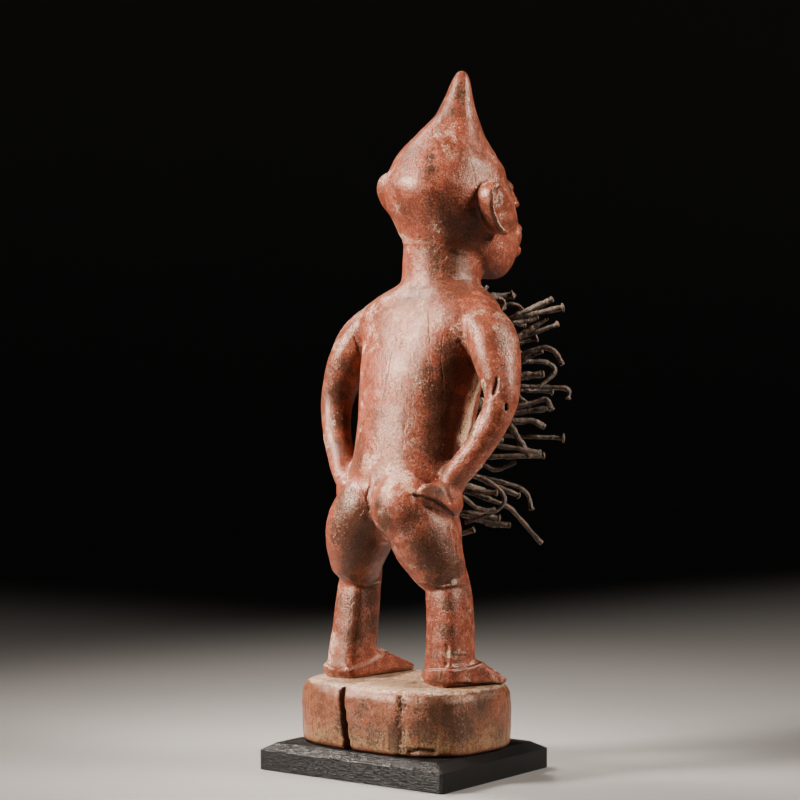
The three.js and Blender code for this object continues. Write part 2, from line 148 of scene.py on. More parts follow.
def skin(rings):
    """Closed skin over rings of equally many points: its points and its faces."""
    count, sides = len(rings), len(rings[0])
    points = np.concatenate([np.concatenate(rings), [rings[0].mean(0)], [rings[-1].mean(0)]])
    faces = []
    for ring in range(count - 1):
        for side in range(sides):
            after = (side + 1) % sides
            a, b = ring * sides + side, ring * sides + after
            faces.append((a, b, b + sides, a + sides))
    last = (count - 1) * sides
    for side in range(sides):
        after = (side + 1) % sides
        faces.append((count * sides, after, side))
        faces.append((count * sides + 1, last + side, last + after))
    return points, faces


def level_ring(radius, height, sides):
    """Points of a level circle about the upright axis."""
    angle = np.arange(sides) / sides * 2 * math.pi
    return np.stack([radius * np.cos(angle), radius * np.sin(angle), np.full(sides, height)], -1)


def stack(rows, sides=48, steps=5):
    """Level ovals: [height, centre x, centre y, half width, front, rear, squareness]."""
    rings = []
    for height, x, y, half_width, front, rear, squareness in eased(rows, steps):
        ring = np.full((sides, 3), [x, y, height], float)
        ring[:, :2] += oval(sides, half_width, front, rear, squareness)
        rings.append(ring)
    return skin(rings)


def limb(rows, reference, sides=32, steps=5):
    """Ovals across a path: [x, y, z, half size across, half size deep, squareness]."""
    rows = eased(rows, steps)
    reference = np.asarray(reference, float)
    rings = []
    for i, (x, y, z, across, deep, squareness) in enumerate(rows):
        tangent = unit(rows[min(i + 1, len(rows) - 1), :3] - rows[max(i - 1, 0), :3])
        deep_axis = unit(reference - tangent * (reference @ tangent))
        across_axis = np.cross(deep_axis, tangent)
        offset = oval(sides, across, deep, deep, squareness)
        rings.append(np.array([x, y, z]) + offset[:, :1] * across_axis + offset[:, 1:] * deep_axis)
    return skin(rings)


def lump(centre, half_sizes, tilt=0.0, sides=28):
    """Rounded lump, tilted about X by an angle in degrees."""
    rings = [level_ring(math.sin(polar), -math.cos(polar), sides) * half_sizes
             for polar in np.linspace(0.06, math.pi - 0.06, sides // 2)]
    points, faces = skin(rings)
    c, s = math.cos(math.radians(tilt)), math.sin(math.radians(tilt))
    return points @ np.array([[1, 0, 0], [0, c, s], [0, -s, c]]) + centre, faces


def mirrored(part, shift=(0, 0, 0)):
    """The part on the other side of the body, moved by a shift."""
    points, faces = part
    return points * [-1, 1, 1] + shift, [tuple(reversed(face)) for face in faces]


def gathered(parts):
    """Several skins as one list of points and faces."""
    points, faces, start = [], [], 0
    for part_points, part_faces in parts:
        points.append(part_points)
        faces += [tuple(index + start for index in face) for face in part_faces]
        start += len(part_points)
    return np.concatenate(points), faces


# Meshes

def mesh_object(name, part, smooth=True):
    """Object whose mesh is in the row frame, from a part in the figure's frame."""
    points, faces = part
    mesh = bpy.data.meshes.new(name)
    mesh.from_pydata(to_world(points).tolist(), [], faces)
    made = bpy.data.objects.new(name, mesh)
    bpy.context.scene.collection.objects.link(made)
    tidy = bmesh.new()
    tidy.from_mesh(mesh)
    bmesh.ops.recalc_face_normals(tidy, faces=tidy.faces)
    tidy.to_mesh(mesh)
    tidy.free()
    mesh.shade_smooth() if smooth else mesh.shade_flat()
    return made


def applied(made, kind, **settings):
    """The object with one modifier applied to its mesh."""
    modifier = made.modifiers.new(kind, kind)
    for key, value in settings.items():
        setattr(modifier, key, value)
    shaped = bpy.data.meshes.new_from_object(
        made.evaluated_get(bpy.context.evaluated_depsgraph_get()))
    made.modifiers.clear()
    old, made.data = made.data, shaped
    bpy.data.meshes.remove(old)
    shaped.shade_smooth()
    return made


def vectors(items, name):
    """What a mesh holds under a name, as rows of three."""
    flat = np.empty(len(items) * 3, np.float32)
    items.foreach_get(name, flat)
    return flat.reshape(-1, 3).astype(float)


def vertices(made):
    return vectors(made.data.vertices, "co")


def set_vertices(made, world):
    made.data.vertices.foreach_set("co", np.asarray(world, np.float32).ravel())
    made.data.update()


def relaxed(made, rounds, strength):
    """Each vertex drawn towards its neighbours, by a strength of one number or one per vertex."""
    edges = np.empty(len(made.data.edges) * 2, np.int32)
    made.data.edges.foreach_get("vertices", edges)
    first, second = edges.reshape(-1, 2).T
    points = vertices(made)
    count = len(points)
    degree = np.bincount(first, minlength=count) + np.bincount(second, minlength=count)
    weight = np.broadcast_to(strength, count)[:, None]
    for _ in range(rounds):
        total = np.stack([np.bincount(first, points[second, k], count)
                          + np.bincount(second, points[first, k], count) for k in range(3)], -1)
        points = points + weight * (total / degree[:, None] - points)
    set_vertices(made, points)


def value_noise(points, size, seed=0):
    """Smooth noise from -1 to 1, about one bump for each size."""
    cells = np.asarray(points, float) / size
    base = np.floor(cells).astype(np.int64)
    t = cells - base
    t = t * t * (3 - 2 * t)
    total = np.zeros(len(cells))
    for corner in itertools.product((0, 1), repeat=3):
        key = (base + corner) @ np.array([73856093, 19349663, 83492791]) + seed * 2654435
        key = ((key ^ (key >> 13)) * 1274126177) & 0x7FFFFFFF
        key = ((key ^ (key >> 15)) * 2246822519) & 0x7FFFFFFF
        total += np.prod(np.where(corner, t, 1 - t), axis=1) * (key / 0x3FFFFFFF - 1)
    return total


def noises(points, seed, *waves):
    """Sum of noises, each given as an amount and a size, on seeds that count up."""
    return sum(amount * value_noise(points, size, seed + k) for k, (amount, size) in enumerate(waves))


def nearest_on_path(points, path):
    """Distance to a polyline and the nearest point on it, for each point."""
    path = np.asarray(path, float)
    best = np.full(len(points), np.inf)
    feet = np.zeros_like(points)
    for start, end in zip(path, path[1:] if len(path) > 1 else path):
        along = end - start
        t = np.clip((points - start) @ along / max(along @ along, 1e-9), 0, 1)
        foot = start + t[:, None] * along
        distance = np.linalg.norm(points - foot, axis=1)
        closer = distance < best
        best[closer] = distance[closer]
        feet[closer] = foot[closer]
    return best, feet


def path_distance(points, path):
    return nearest_on_path(points, path)[0]


def falloff(distance, width):
    return np.exp(-(distance / width) ** 2)


def smooth_step(value, low, high):
    t = np.clip((value - low) / (high - low), 0, 1)
    return t * t * (3 - 2 * t)


def between(value, rise, fall):
    """1 between two slopes and 0 beyond them."""
    return smooth_step(value, *rise) * smooth_step(value, *fall)


def both_sides(path):
    """A path on the figure's right, and its mirror image on the left."""
    return [np.array(path), np.array(path) * [-1, 1, 1]]


class Carving:
    """A wooden mesh that takes strokes of the knife and dabs of colour, along paths of points in
    the figure's frame or of pixels of the photograph."""

    GROOVE_WIDTH = 1.1
    GROOVE_SHADE = 1.5

    def __init__(self, made):
        self.made = made
        world = vertices(made)
        self.points = from_world(world / MM)
        self.normals = turned(vectors(made.data.vertex_normals, "vector"), -FIGURE_TURN)
        self.layers = {name: np.zeros(len(world)) for name in ("dark", "pale", "raw")}
        polygons = [tuple(face.vertices) for face in made.data.polygons]
        self.tree = BVHTree.FromPolygons(world.tolist(), polygons)

    def seen(self, pixels):
        """Points of the surface behind pixels of the photograph, where the carving is there."""
        found = []
        for px, py in pixels:
            way = VIEW + RIGHT * (px - PHOTO_SIZE / 2) / FOCAL_PIXELS
            way = way - UP * (py - PHOTO_SIZE / 2) / FOCAL_PIXELS
            hit = self.tree.ray_cast(Vector(EYE * MM), Vector(way).normalized())[0]
            if hit is not None:
                found.append(from_world(np.array(hit) / MM))
        return found

    def placed(self, path):
        """The path in the figure's frame: pairs are pixels, and triples are there already."""
        return self.seen(path) if len(path) and len(path[0]) == 2 else path

    def relief(self, amount, mask=1.0):
        self.points = self.points + self.normals * (amount * mask)[:, None]

    def tinge(self, name, strength):
        self.layers[name] = np.maximum(self.layers[name], strength)

    def dab(self, path, width, name, strength):
        """Colours the surface round a path."""
        near = falloff(path_distance(self.points, self.placed(path)), width)
        self.tinge(name, near * strength)

    def stroke(self, path, width, amount, **colours):
        """Pushes the surface out (or in) along a path and colours it there."""
        path = self.placed(path)
        self.relief(amount * falloff(path_distance(self.points, path), width))
        for name, strength in colours.items():
            self.dab(path, width * 1.3, name, strength)

    def ledge(self, path, side, rise, reach, groove=0.0, dark=0.0, sharp=0.5):
        """A step along a path: proud towards one side, sharply cut under it, with painted shade laid along
        the cut.
        """
        path = self.placed(path)
        near, foot = nearest_on_path(self.points, path)
        beyond = smooth_step((self.points - foot) @ side, -sharp, sharp)
        self.relief(rise * falloff(near, reach) * beyond - groove * falloff(near, self.GROOVE_WIDTH))
        self.dab(path, self.GROOVE_SHADE, "dark", dark)

    def pit(self, path, half_width, depth):
        """A steep-sided hole along a path, dark inside as painted shade."""
        distance = path_distance(self.points, self.placed(path))
        self.relief(-depth * smooth_step(distance, half_width + 0.6, half_width - 0.4))
        self.tinge("dark", smooth_step(distance, half_width + 0.5, half_width - 0.1))

    def facet(self, corners, lift, margin, share=0.9, reach=9):
        """A flat cut between corner points, given in order round it, that stands out by lift."""
        corners = np.asarray(self.placed(corners), float)
        middle = corners.mean(0)
        _, _, axes = np.linalg.svd(corners - middle)
        out = axes[2] * math.copysign(1, axes[2] @ from_world(-VIEW))
        outline = (corners - middle) @ axes[:2].T
        following = np.roll(outline, -1, axis=0)
        turn = math.copysign(1, np.sum(outline[:, 0] * following[:, 1] - outline[:, 1] * following[:, 0]))
        flat = (self.points - middle) @ axes[:2].T
        inside = np.full(len(flat), np.inf)
        for start, end in zip(outline, following):
            along = unit(end - start)
            inside = np.minimum(inside, turn * ((flat - start) @ np.array([-along[1], along[0]])))
        height = (self.points - middle) @ out
        weight = share * smooth_step(inside, -margin, margin)
        weight *= smooth_step(np.abs(height), reach, reach * 0.6)
        self.points = self.points + out * (weight * (lift - height))[:, None]

    def wear(self, rounds=8, low=0.12, high=0.7):
        """Pale worn edges and dark hollows, read from the carving's own curvature."""
        before = self.points
        set_vertices(self.made, to_world(before))
        relaxed(self.made, rounds, 0.5)
        after = from_world(vertices(self.made) / MM)
        proud = np.sum((before - after) * self.normals, axis=1)
        self.tinge("pale", 0.30 * smooth_step(proud, low, high))
        self.tinge("dark", 0.55 * smooth_step(-proud, low, high))

    def finish(self):
        set_vertices(self.made, to_world(self.points))
        for name, values in self.layers.items():
            layer = self.made.data.attributes.new(name, "FLOAT", "POINT")
            layer.data.foreach_set("value", np.clip(values, 0, 1).astype(np.float32))
        self.made.data.shade_smooth()


# Body tables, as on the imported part

TRUNK = [
    [122, 0, 4, 24, 22, 20, 2],
    [140, 0, 4, 46, 36, 30, 2],
    [160, 0, 2, 56, 42, 36, 2.1],
    [180, 0, -3, 58, 44, 39, 2.1],
    [200, 0, -9, 56, 45, 42, 2.1],
    [225, 0, -16, 56, 46, 45, 2.1],
    [250, 0, -21, 58, 46, 46, 2.1],
    [275, 0, -26, 60, 45, 47, 2.1],
    [298, 0, -31, 63, 42, 43, 2.2],
    [310, 0, -33, 71, 40, 40, 2.2],
    [321, 0, -35, 76, 38, 37, 2.2],
    [331, 0, -37, 73, 36, 34, 2.2],
    [341, 0, -41, 61, 35, 32, 2.1],
    [348, 0, -46, 48, 34, 31, 2.1],
    [354, 0, -51, 37, 34, 32, 2],
]
NECK = [
    [330, 0, -50, 40, 38, 38, 2],
    [348, 0, -52, 37, 37, 37, 2],
    [365, 0, -53, 35.5, 35.5, 35.5, 2],
    [402, 0, -53, 35.5, 35.5, 35.5, 2],
]
ARM = [
    [-50, -35, 322, 12, 18, 2],
    [-62, -34, 317, 18, 24, 2],
    [-75, -30, 303, 21, 25, 2],
    [-84, -25, 284, 19.5, 24, 2],
    [-91, -21, 266, 17, 20, 2],
    [-95, -18, 250, 14.5, 16.5, 2],
    [-93, -13, 234, 13.5, 14.5, 2],
    [-86, -7, 217, 13, 14, 2],
    [-76, -1, 200, 12.5, 13.5, 2],
    [-66, 5, 186, 12, 13.5, 2],
    [-58, 9, 175, 11, 13, 2],
]
HAND = [
    [-39, 40, 161.5, 2, 2, 2],
    [-46, 38, 163, 5, 4.5, 2.4],
    [-53, 31, 166.5, 7.5, 10, 2.6],
    [-60, 15, 163.5, 9, 15, 2.6],
    [-58, 2, 162, 8, 15.5, 2.4],
    [-52, -12, 166, 4, 9, 2],
]
LEFT_HAND = [
    [26, 35, 167, 2, 3, 2],
    [38, 32, 168, 5, 7, 2],
    [50, 24, 168, 7, 12, 2],
    [58, 11, 167, 8, 17.5, 2],
    [57, 0, 167, 6.5, 16, 2],
    [52, -12, 168, 4, 9, 2],
]
THIGH = [
    [-26, 8, 166, 22, 30, 2],
    [-31, 13, 150, 28, 36, 2],
    [-36, 15, 134, 29, 36, 2.1],
    [-41, 14, 119, 27.5, 32, 2.1],
    [-46, 11, 106, 24.5, 26, 2.1],
    [-50, 7, 96, 21.5, 22.5, 2.1],
    [-53, 5, 90, 17, 18, 2.1],
]
BUTTOCKS = [
    ([-25, 26, 155], [30, 34, 32]),
    ([25, 20, 151], [28, 31, 29]),
]
RIGHT_SHIN = [
    [-50, 4, 104, 15, 18, 2.3],
    [-53, 4, 86, 16.5, 19, 2.9],
    [-56, 5, 60, 17, 19.5, 3.4],
    [-57, 6, 30, 17.5, 20, 3.8],
    [-57, 7, 4, 18, 20, 3.8],
]
LEFT_SHIN = [
    [49, 0, 100, 17, 19, 2.3],
    [50, 2, 84, 16.5, 19, 2.8],
    [50, 6, 60, 16.5, 19.5, 3.2],
    [50, 11, 30, 17, 20, 3.4],
    [50, 15, 4, 17.5, 20.5, 3.4],
]

# Foot from the heel to the toes, [along, half width, height], and where each foot stands
FOOT = [
    [0, 15, 12],
    [4, 18.5, 14.5],
    [22, 20.5, 19],
    [38, 21, 24],
    [54, 21, 17],
    [70, 20, 10],
    [78, 18, 6],
]
FEET = [([-49, 21.5], -18, 67), ([51, 32.5], -1, 89)]
SOLE_SINK = 1.5

HEAD_PIVOT = np.array([0, -53, 385])
HEAD_TURN = math.radians(-6)
HEAD_TILT = math.radians(-7)
HEAD_LEAN = np.array([[math.cos(HEAD_TILT), 0, -math.sin(HEAD_TILT)], [0, 1, 0],
                      [math.sin(HEAD_TILT), 0, math.cos(HEAD_TILT)]])
SKULL = [
    [386, 0, -2, 33, 66, 33, 2.2],
    [395, 0, 0, 42, 78, 37, 2.1],
    [405, 0, 0, 46, 81, 43, 2.1],
    [416, 0, 0, 50, 79, 51, 2.15],
    [428, 0, 0, 52, 72, 58, 2.1],
    [440, 0, 0, 52, 66, 60, 2.1],
    [452, 0, 1, 49.5, 62.2, 55, 2],
    [465, 0, 3, 46, 59, 46, 2],
    [477, 0, 5, 37.5, 49, 34.5, 2],
    [490, 0, 1.5, 28.5, 34, 26, 2],
    [504, 0, -3, 20.5, 22, 18, 2],
    [519, 0, -5, 14.3, 13.7, 12.8, 2],
    [534, 0, -6.6, 9.4, 8.4, 9.2, 2],
    [542, 0, -7, 6.3, 5.6, 6.2, 2],
    [546, 0, -7, 3, 3, 3, 2],
]
JAW = [
    [361, 0, -40, 24, 23, 20, 2.2],
    [367, 0, -37, 32, 36, 26, 2.2],
    [377, 0, -32, 39, 46, 30, 2.2],
    [389, 0, -24, 43, 59, 30, 2.2],
    [404, 0, -12, 43, 70, 30, 2.2],
]
EAR_RIM = [
    [-56, -8, 445, 3, 5, 2],
    [-58, 4, 446, 3.5, 9, 2],
    [-59, 11, 438, 3.5, 10.5, 2],
    [-59, 9, 426, 3.5, 10, 2],
    [-58, 0, 415, 3.5, 9, 2],
    [-55, -13, 407, 3.5, 8, 2],
    [-51, -27, 405, 3, 5, 2],
]
EAR_BOWL = ([-44, 1, 428], [7.5, 8, 15], -36)
LEFT_EAR_SHIFT = [2.5, 8, 2]
NOSE = [
    [0, -62, 449, 6, 8, 2],
    [0, -75, 440, 10, 11, 2],
    [0, -79.5, 431, 12.5, 10.5, 2],
]
MUZZLE = ([0, -69, 402], [31, 15, 23])
UPPER_LIP = ([0, -80, 409], [21, 12, 8])
LOWER_LIP = ([0, -82, 388.5], [20, 12.5, 9.5])
BROW = ([0, -49, 445.5], [36, 16, 12.5])
NOSTRIL = ([-10, -76.3, 431.5], [7, 9, 5.5])
EYELID = ([-19.5, -56, 436], [12.5, 10.5, 6])


# The block of wood

def on_foot(heel, toe_turn, along, across=0.0):
    """Place on the ground, so far ahead of a heel and so far to its side."""
    outward = math.copysign(1, heel[0]) * math.sin(math.radians(-toe_turn))
    ahead = -math.cos(math.radians(toe_turn))
    return [heel[0] + outward * along - ahead * across, heel[1] + ahead * along + outward * across]


def foot(heel, toe_turn, length):
    stretch = length / FOOT[-1][0]
    rows = [[*on_foot(heel, toe_turn, along * stretch), (height - SOLE_SINK) / 2, half_width,
             (height + SOLE_SINK) / 2, 3.2] for along, half_width, height in FOOT]
    return limb(rows, UP)


def place_head(part):
    """Turns and tilts the head about the top of the neck."""
    points, faces = part
    return turned((points - [0, 0, HEAD_PIVOT[2]]) @ HEAD_LEAN, HEAD_TURN) + HEAD_PIVOT, faces


def head_frame(points):
    """Points of the figure's frame in the head's own frame."""
    return turned(points - HEAD_PIVOT, -HEAD_TURN) @ HEAD_LEAN.T + [0, 0, HEAD_PIVOT[2]]


def head_parts():
    ear = [limb(EAR_RIM, [1, 0, 0]), lump(*EAR_BOWL)]
    pairs = [lump(*NOSTRIL), lump(*EYELID)]
    parts = [stack(SKULL, 64), stack(JAW, 48), limb(NOSE, [0, -1, 0])]
    parts += [lump(*MUZZLE), lump(*UPPER_LIP), lump(*LOWER_LIP), lump(*BROW)]
    parts += ear + [mirrored(piece, LEFT_EAR_SHIFT) for piece in ear]
    parts += pairs + [mirrored(piece) for piece in pairs]
    return [place_head(part) for part in parts]


def body_parts():
    back = [0, 1, 0]
    sides = [limb(ARM, back), limb(THIGH, back)]
    parts = [stack(TRUNK, 64), stack(NECK), *sides, *map(mirrored, sides)]
    parts += [limb(HAND, UP), limb(LEFT_HAND, UP)]
    parts += [lump(centre, sizes) for centre, sizes in BUTTOCKS]
    parts += [limb(RIGHT_SHIN, back), limb(LEFT_SHIN, back)]
    parts += [foot(*place) for place in FEET]
    return parts + head_parts()


def refined(made, centres, radius):
    """Finer faces near some points of the figure's frame."""
    near = to_world(np.asarray(centres)) / MM
    fine = bmesh.new()
    fine.from_mesh(made.data)
    points = np.array([vertex.co for vertex in fine.verts]) / MM
    close = path_distance(points, near) < radius
    edges = [edge for edge in fine.edges if all(close[vertex.index] for vertex in edge.verts)]
    bmesh.ops.subdivide_edges(fine, edges=edges, cuts=1, use_grid_fill=True)
    bmesh.ops.triangulate(fine, faces=[face for face in fine.faces if len(face.verts) > 4])
    fine.to_mesh(made.data)
    fine.free()


# Knife strokes that the photograph shows, each a path of its pixels
ELBOW_FOLD = [(497, 379), (496, 386), (493.5, 394)]
ELBOW_RIDGE = [(500, 380), (500.5, 388), (496, 396), (488, 402)]
ELBOW_HOLE = [(506.5, 405.5), (506.3, 409)]
HAND_UNDERCUT = [(413, 495), (424, 496.5), (434, 500), (442.5, 505.5), (453.5, 514)]
SKULL_EDGE = [(404, 243), (418, 245.5), (434, 247), (448, 250), (458, 254)]
CRUST_EDGE = [(483, 384), (480, 400), (477, 416), (472, 434)]
THUMB_TOP = [(413, 491), (424, 484), (436, 478)]
WRIST_VALLEY = [(438, 477), (444, 484), (447, 492), (450, 501)]
BUTTOCK_CLEFT = [(370, 487), (367, 497), (370, 510), (378, 523), (387, 535)]
RIGHT_KNEE = [(427, 583.5), (437, 586.5), (446, 587.2), (453, 586)]
LEFT_KNEE = [(341, 575), (350, 583), (364, 586), (377, 583)]
SHIN_HOLLOW = [(447, 646), (447, 656), (446, 664)]
ANKLE_BLOCK = [(450.5, 654), (469.5, 653.5), (469, 665), (452, 665.5)]
ANKLE_CREST = [(451, 654), (457, 652.5), (469.5, 654)]
ANKLE_STEP = [(426, 669.5), (441, 669), (456, 670), (470, 666.5), (480, 662.5)]
SOLE_GAP = [(455, 683), (475, 684), (490, 683), (504, 683)]
LEFT_HEEL_EDGE = [(327, 665), (338, 671), (350, 668)]
LEFT_ARMPIT = [(355, 338), (358, 346), (360, 356)]
RIGHT_ARMPIT = [(459, 341), (465, 350), (470, 362)]
BACK_CRACKS = [
    [(391, 352), (388, 372), (385, 388), (380, 412)], [(352, 326), (357, 350), (358, 372)],
    [(430, 310), (429, 326), (430, 344)], [(405, 425), (403, 450)], [(443, 335), (441, 360), (443, 380)],
]
HEAD_CRACKS = [
    [(471, 163), (474, 174), (477, 187)], [(433, 128), (432, 137)], [(493, 168), (494, 184)],
    [(462, 84), (463, 104)], [(430, 156), (426, 168), (429, 180)], [(423, 170), (434, 171)],
    [(424, 178), (436, 176)], [(449, 88), (446, 108)],
]
LIMB_CRACKS = [
    [(336, 360), (333, 390), (335, 420)], [(512, 345), (514, 372)], [(438, 520), (446, 548)],
    [(470, 600), (471, 640)], [(352, 600), (349, 640)], [(478, 436), (466, 452)], [(434, 600), (433, 640)],
]
PALE_BAND = [(477, 380), (472, 398), (468, 415), (463, 438)]

# Dabs of colour on the side that the photograph shows: pixel, radius, strength
# The dark dabs are patina with painted shade: the flank beside the right arm, the neck's middle, under the
# thighs and the hand, the buttock cleft, the left buttock and shin, and the ear's shadow on the head.
PATINA_AND_SHADE_DABS = [
    (459, 96, 9, 0.35), (457, 110, 7, 0.19), (440, 208, 23, 0.26), (450, 226, 22, 0.3),
    (478, 215, 13, 0.4), (428, 236, 14, 0.21), (442, 262, 16, 0.32), (446, 284, 14, 0.3),
    (455, 272, 13, 0.26), (345, 508, 13, 0.56), (350, 530, 19, 0.65), (354, 556, 16, 0.53),
    (365, 540, 13, 0.46), (432, 536, 14, 0.4), (440, 556, 19, 0.68), (455, 570, 14, 0.56),
    (412, 522, 13, 0.34), (372, 600, 12, 0.53), (371, 625, 12, 0.56), (352, 618, 12, 0.4),
    (348, 645, 10, 0.31), (447, 604, 9, 0.4), (446, 632, 10, 0.46), (455, 650, 6, 0.25),
    (412, 392, 14, 0.2), (408, 424, 16, 0.23), (415, 450, 14, 0.2), (432, 372, 16, 0.27),
    (440, 396, 17, 0.59), (446, 420, 17, 0.66), (440, 446, 17, 0.58), (455, 370, 17, 0.66),
    (428, 460, 13, 0.23), (448, 350, 13, 0.39), (396, 352, 14, 0.12), (385, 420, 12, 0.11),
    (332, 372, 10, 0.31), (338, 420, 12, 0.4), (340, 450, 9, 0.37), (348, 370, 7, 0.46),
    (492, 418, 12, 0.14), (506, 335, 14, 0.12), (482, 322, 16, 0.12), (430, 172, 10, 0.23),
    (352, 330, 9, 0.22), (430, 490, 10, 0.4), (455, 480, 9, 0.14), (330, 400, 7, 0.45),
    (338, 385, 8, 0.45), (346, 440, 6, 0.4), (404, 530, 8, 0.4), (340, 600, 8, 0.3), (360, 640, 8, 0.45),
    (360, 600, 8, 0.45), (450, 402, 12, 0.71), (436, 430, 12, 0.59), (442, 470, 9, 0.42),
    (436, 655, 9, 0.28), (465, 590, 7, 0.31), (378, 505, 7, 0.62), (383, 520, 9, 0.7),
    (388, 538, 9, 0.62), (344, 505, 10, 0.55), (358, 545, 14, 0.65), (350, 565, 10, 0.55),
    (368, 560, 9, 0.6), (355, 605, 12, 0.6), (355, 635, 12, 0.6), (374, 620, 9, 0.6), (340, 660, 8, 0.3),
    (372, 585, 8, 0.6), (336, 395, 11, 0.6), (342, 420, 10, 0.6), (336, 445, 8, 0.5), (345, 365, 8, 0.5),
    (420, 545, 12, 0.6), (408, 530, 10, 0.5), (450, 255, 12, 0.26), (465, 240, 10, 0.34),
    (470, 225, 9, 0.38), (438, 290, 10, 0.22), (362, 512, 9, 0.75), (366, 528, 10, 0.8),
    (368, 545, 9, 0.75), (352, 545, 12, 0.7), (429, 488, 5, 0.5), (437, 492, 4, 0.5),
    (350, 512, 13, 0.7), (345, 498, 8, 0.5), (333, 425, 7, 0.35), (356, 622, 9, 0.4), (443, 402, 8, 0.6),
    (428, 578, 5, 0.6), (438, 580.5, 5, 0.6), (449, 581, 5, 0.5), (345, 571, 5, 0.5),
    (354, 578, 5, 0.55), (366, 580, 5, 0.55), (430, 157, 4, 0.7), (431, 170, 5, 0.5), (428, 178, 4, 0.4),
    (480, 205, 9, 0.15), (455, 90, 9, 0.3), (449, 112, 10, 0.3), (462, 100, 8, 0.25),
    (440, 130, 10, 0.2), (500, 340, 10, 0.3), (505, 366, 8, 0.2), (446, 270, 9, 0.3), (441, 491, 6, 0.4),
    (342, 492, 8, 0.4), (352, 490, 6, 0.3), (352, 515, 12, 0.9), (360, 530, 12, 0.85),
]
# The pale dabs are dust, with painted highlight on the cheek beside the ear.
DUST_AND_HIGHLIGHT_DABS = [
    (372, 312, 12, 0.29), (386, 300, 9, 0.29), (370, 330, 9, 0.26), (418, 308, 13, 0.29),
    (440, 316, 13, 0.26), (425, 328, 10, 0.22), (458, 328, 10, 0.22), (364, 348, 6, 0.31),
    (362, 375, 5, 0.29), (362, 405, 5, 0.29), (360, 430, 6, 0.29), (380, 440, 12, 0.29),
    (370, 462, 12, 0.34), (392, 468, 13, 0.36), (412, 440, 6, 0.26), (385, 482, 9, 0.14),
    (414, 485, 7, 0.12), (372, 500, 5, 0.26), (392, 506, 8, 0.1), (398, 208, 8, 0.24),
    (437, 226, 9, 0.22), (436, 136, 7, 0.26), (438, 120, 5, 0.22), (413, 262, 7, 0.2),
    (470, 282, 8, 0.24), (405, 287, 8, 0.29), (428, 293, 9, 0.24), (450, 525, 7, 0.22),
    (437, 516, 7, 0.19), (458, 656, 5, 0.34), (470, 610, 4, 0.22), (380, 512, 4, 0.29),
    (396, 548, 4, 0.29), (411, 566, 4, 0.26), (506, 408, 6, 0.2), (508, 430, 6, 0.26),
    (352, 320, 6, 0.2), (338, 340, 5, 0.17), (498, 330, 8, 0.19), (460, 450, 6, 0.17),
    (415, 346, 8, 0.19), (402, 318, 8, 0.26), (400, 372, 8, 0.15), (378, 392, 7, 0.19),
    (465, 678, 9, 0.22), (499, 200, 8, 0.3), (506, 188, 5, 0.2), (503, 216, 6, 0.25), (376, 455, 9, 0.3),
    (398, 458, 8, 0.25),
]
# Scuffs with an ochre ground
OCHRE_DABS = [
    (375, 345, 12, 0.3), (365, 395, 8, 0.26), (448, 655, 4, 0.7), (408, 490, 10, 0.35),
    (385, 490, 10, 0.35), (512, 425, 6, 0.4), (400, 318, 9, 0.3), (480, 312, 10, 0.3),
    (440, 225, 10, 0.25), (395, 225, 8, 0.3), (352, 510, 8, 0.2), (455, 688, 10, 0.2),
]

# Cuts of the face on one side, in the head's own frame: path, width, amount, darkness, which is painted
# shade in the cut
FACE_CUTS = [
    ([[-5, -72, 440.5], [-14, -71, 441], [-22, -67, 441]], 1.5, -1.5, 0.4),
    ([[-26, -64, 440], [-33, -59, 438.5]], 1.3, -0.7, 0.3),
    ([[-8, -67, 434], [-13, -68, 438.5], [-19, -67, 440], [-26, -62, 438], [-31, -55, 434]], 1.1, -1.7, 0.6),
    ([[-8, -67, 434], [-14, -68, 430.5], [-20, -67, 429.5], [-26, -62, 430.5], [-31, -55, 434]],
     1.1, -1.5, 0.5),
    ([[-7, -91, 398.5], [-14, -88, 398.5], [-22, -80, 398.5]], 1.7, -3.2, 0.9),
    ([[0, -92, 398.5], [-7, -91, 398.5]], 1.7, -3.2, 0.9),
    ([[-5, -91, 425.5], [-8.5, -90, 426]], 1.5, -2.0, 0.8),
    ([[0, -88, 421], [0, -91, 416]], 1.4, -0.8, 0),
    ([[-6, -88, 424.5], [-13, -86, 425], [-19, -80, 426.5]], 1.7, -2.0, 0.35),
    ([[-15, -85, 421], [-20, -84, 413]], 1.6, -0.9, 0.25),
]

# Cuts of the right ear in the same frame: path, width, amount, colour and its strength; the dark is painted
# shade along the rim's groove and in the bowl, the pale a painted highlight on the rim's inner edge
EAR_EDGE = np.array([[x - deep + 0.4, y, z] for x, y, z, _, deep, _ in EAR_RIM[1:6]])
EAR_CUTS = [
    (EAR_EDGE + [0, 1.2, 0], 1.4, -0.9, "dark", 0.95),
    (np.array([[-50.5, -16, 443], [-50, -18, 436], [-50, -17, 430]]), 3, -1.5, "dark", 0.6),
    (EAR_EDGE + [0.5, -1.6, 0], 0.9, 0.4, "pale", 0.8),
]

# Lines between the fingers of the right hand, laid forward round the hip
FINGER_GAPS = [[[-62, -2, z], [-57, -14, z + 0.5], [-49, -20, z + 1]] for z in (160.5, 165.5, 170.5)]

# Lines between the toes: how far across the foot, and their ends as a share of its length and a height
TOE_GAPS = (-11, -3.5, 4, 11)
TOE_GAP_ENDS = ((0.78, 11), (1.02, 5))


def face(carving):
    """Lids, parted lips, nostrils and the folds beside them, with painted shade in each cut."""
    local = head_frame(carving.points)
    mask = smooth_step(local[:, 1], -38, -48) * smooth_step(local[:, 2], 358, 364)
    for path, width, amount, strength in FACE_CUTS:
        for side in both_sides(path):
            near = falloff(path_distance(local, side), width) * mask
            carving.relief(amount * near)
            carving.tinge("dark", near * strength)


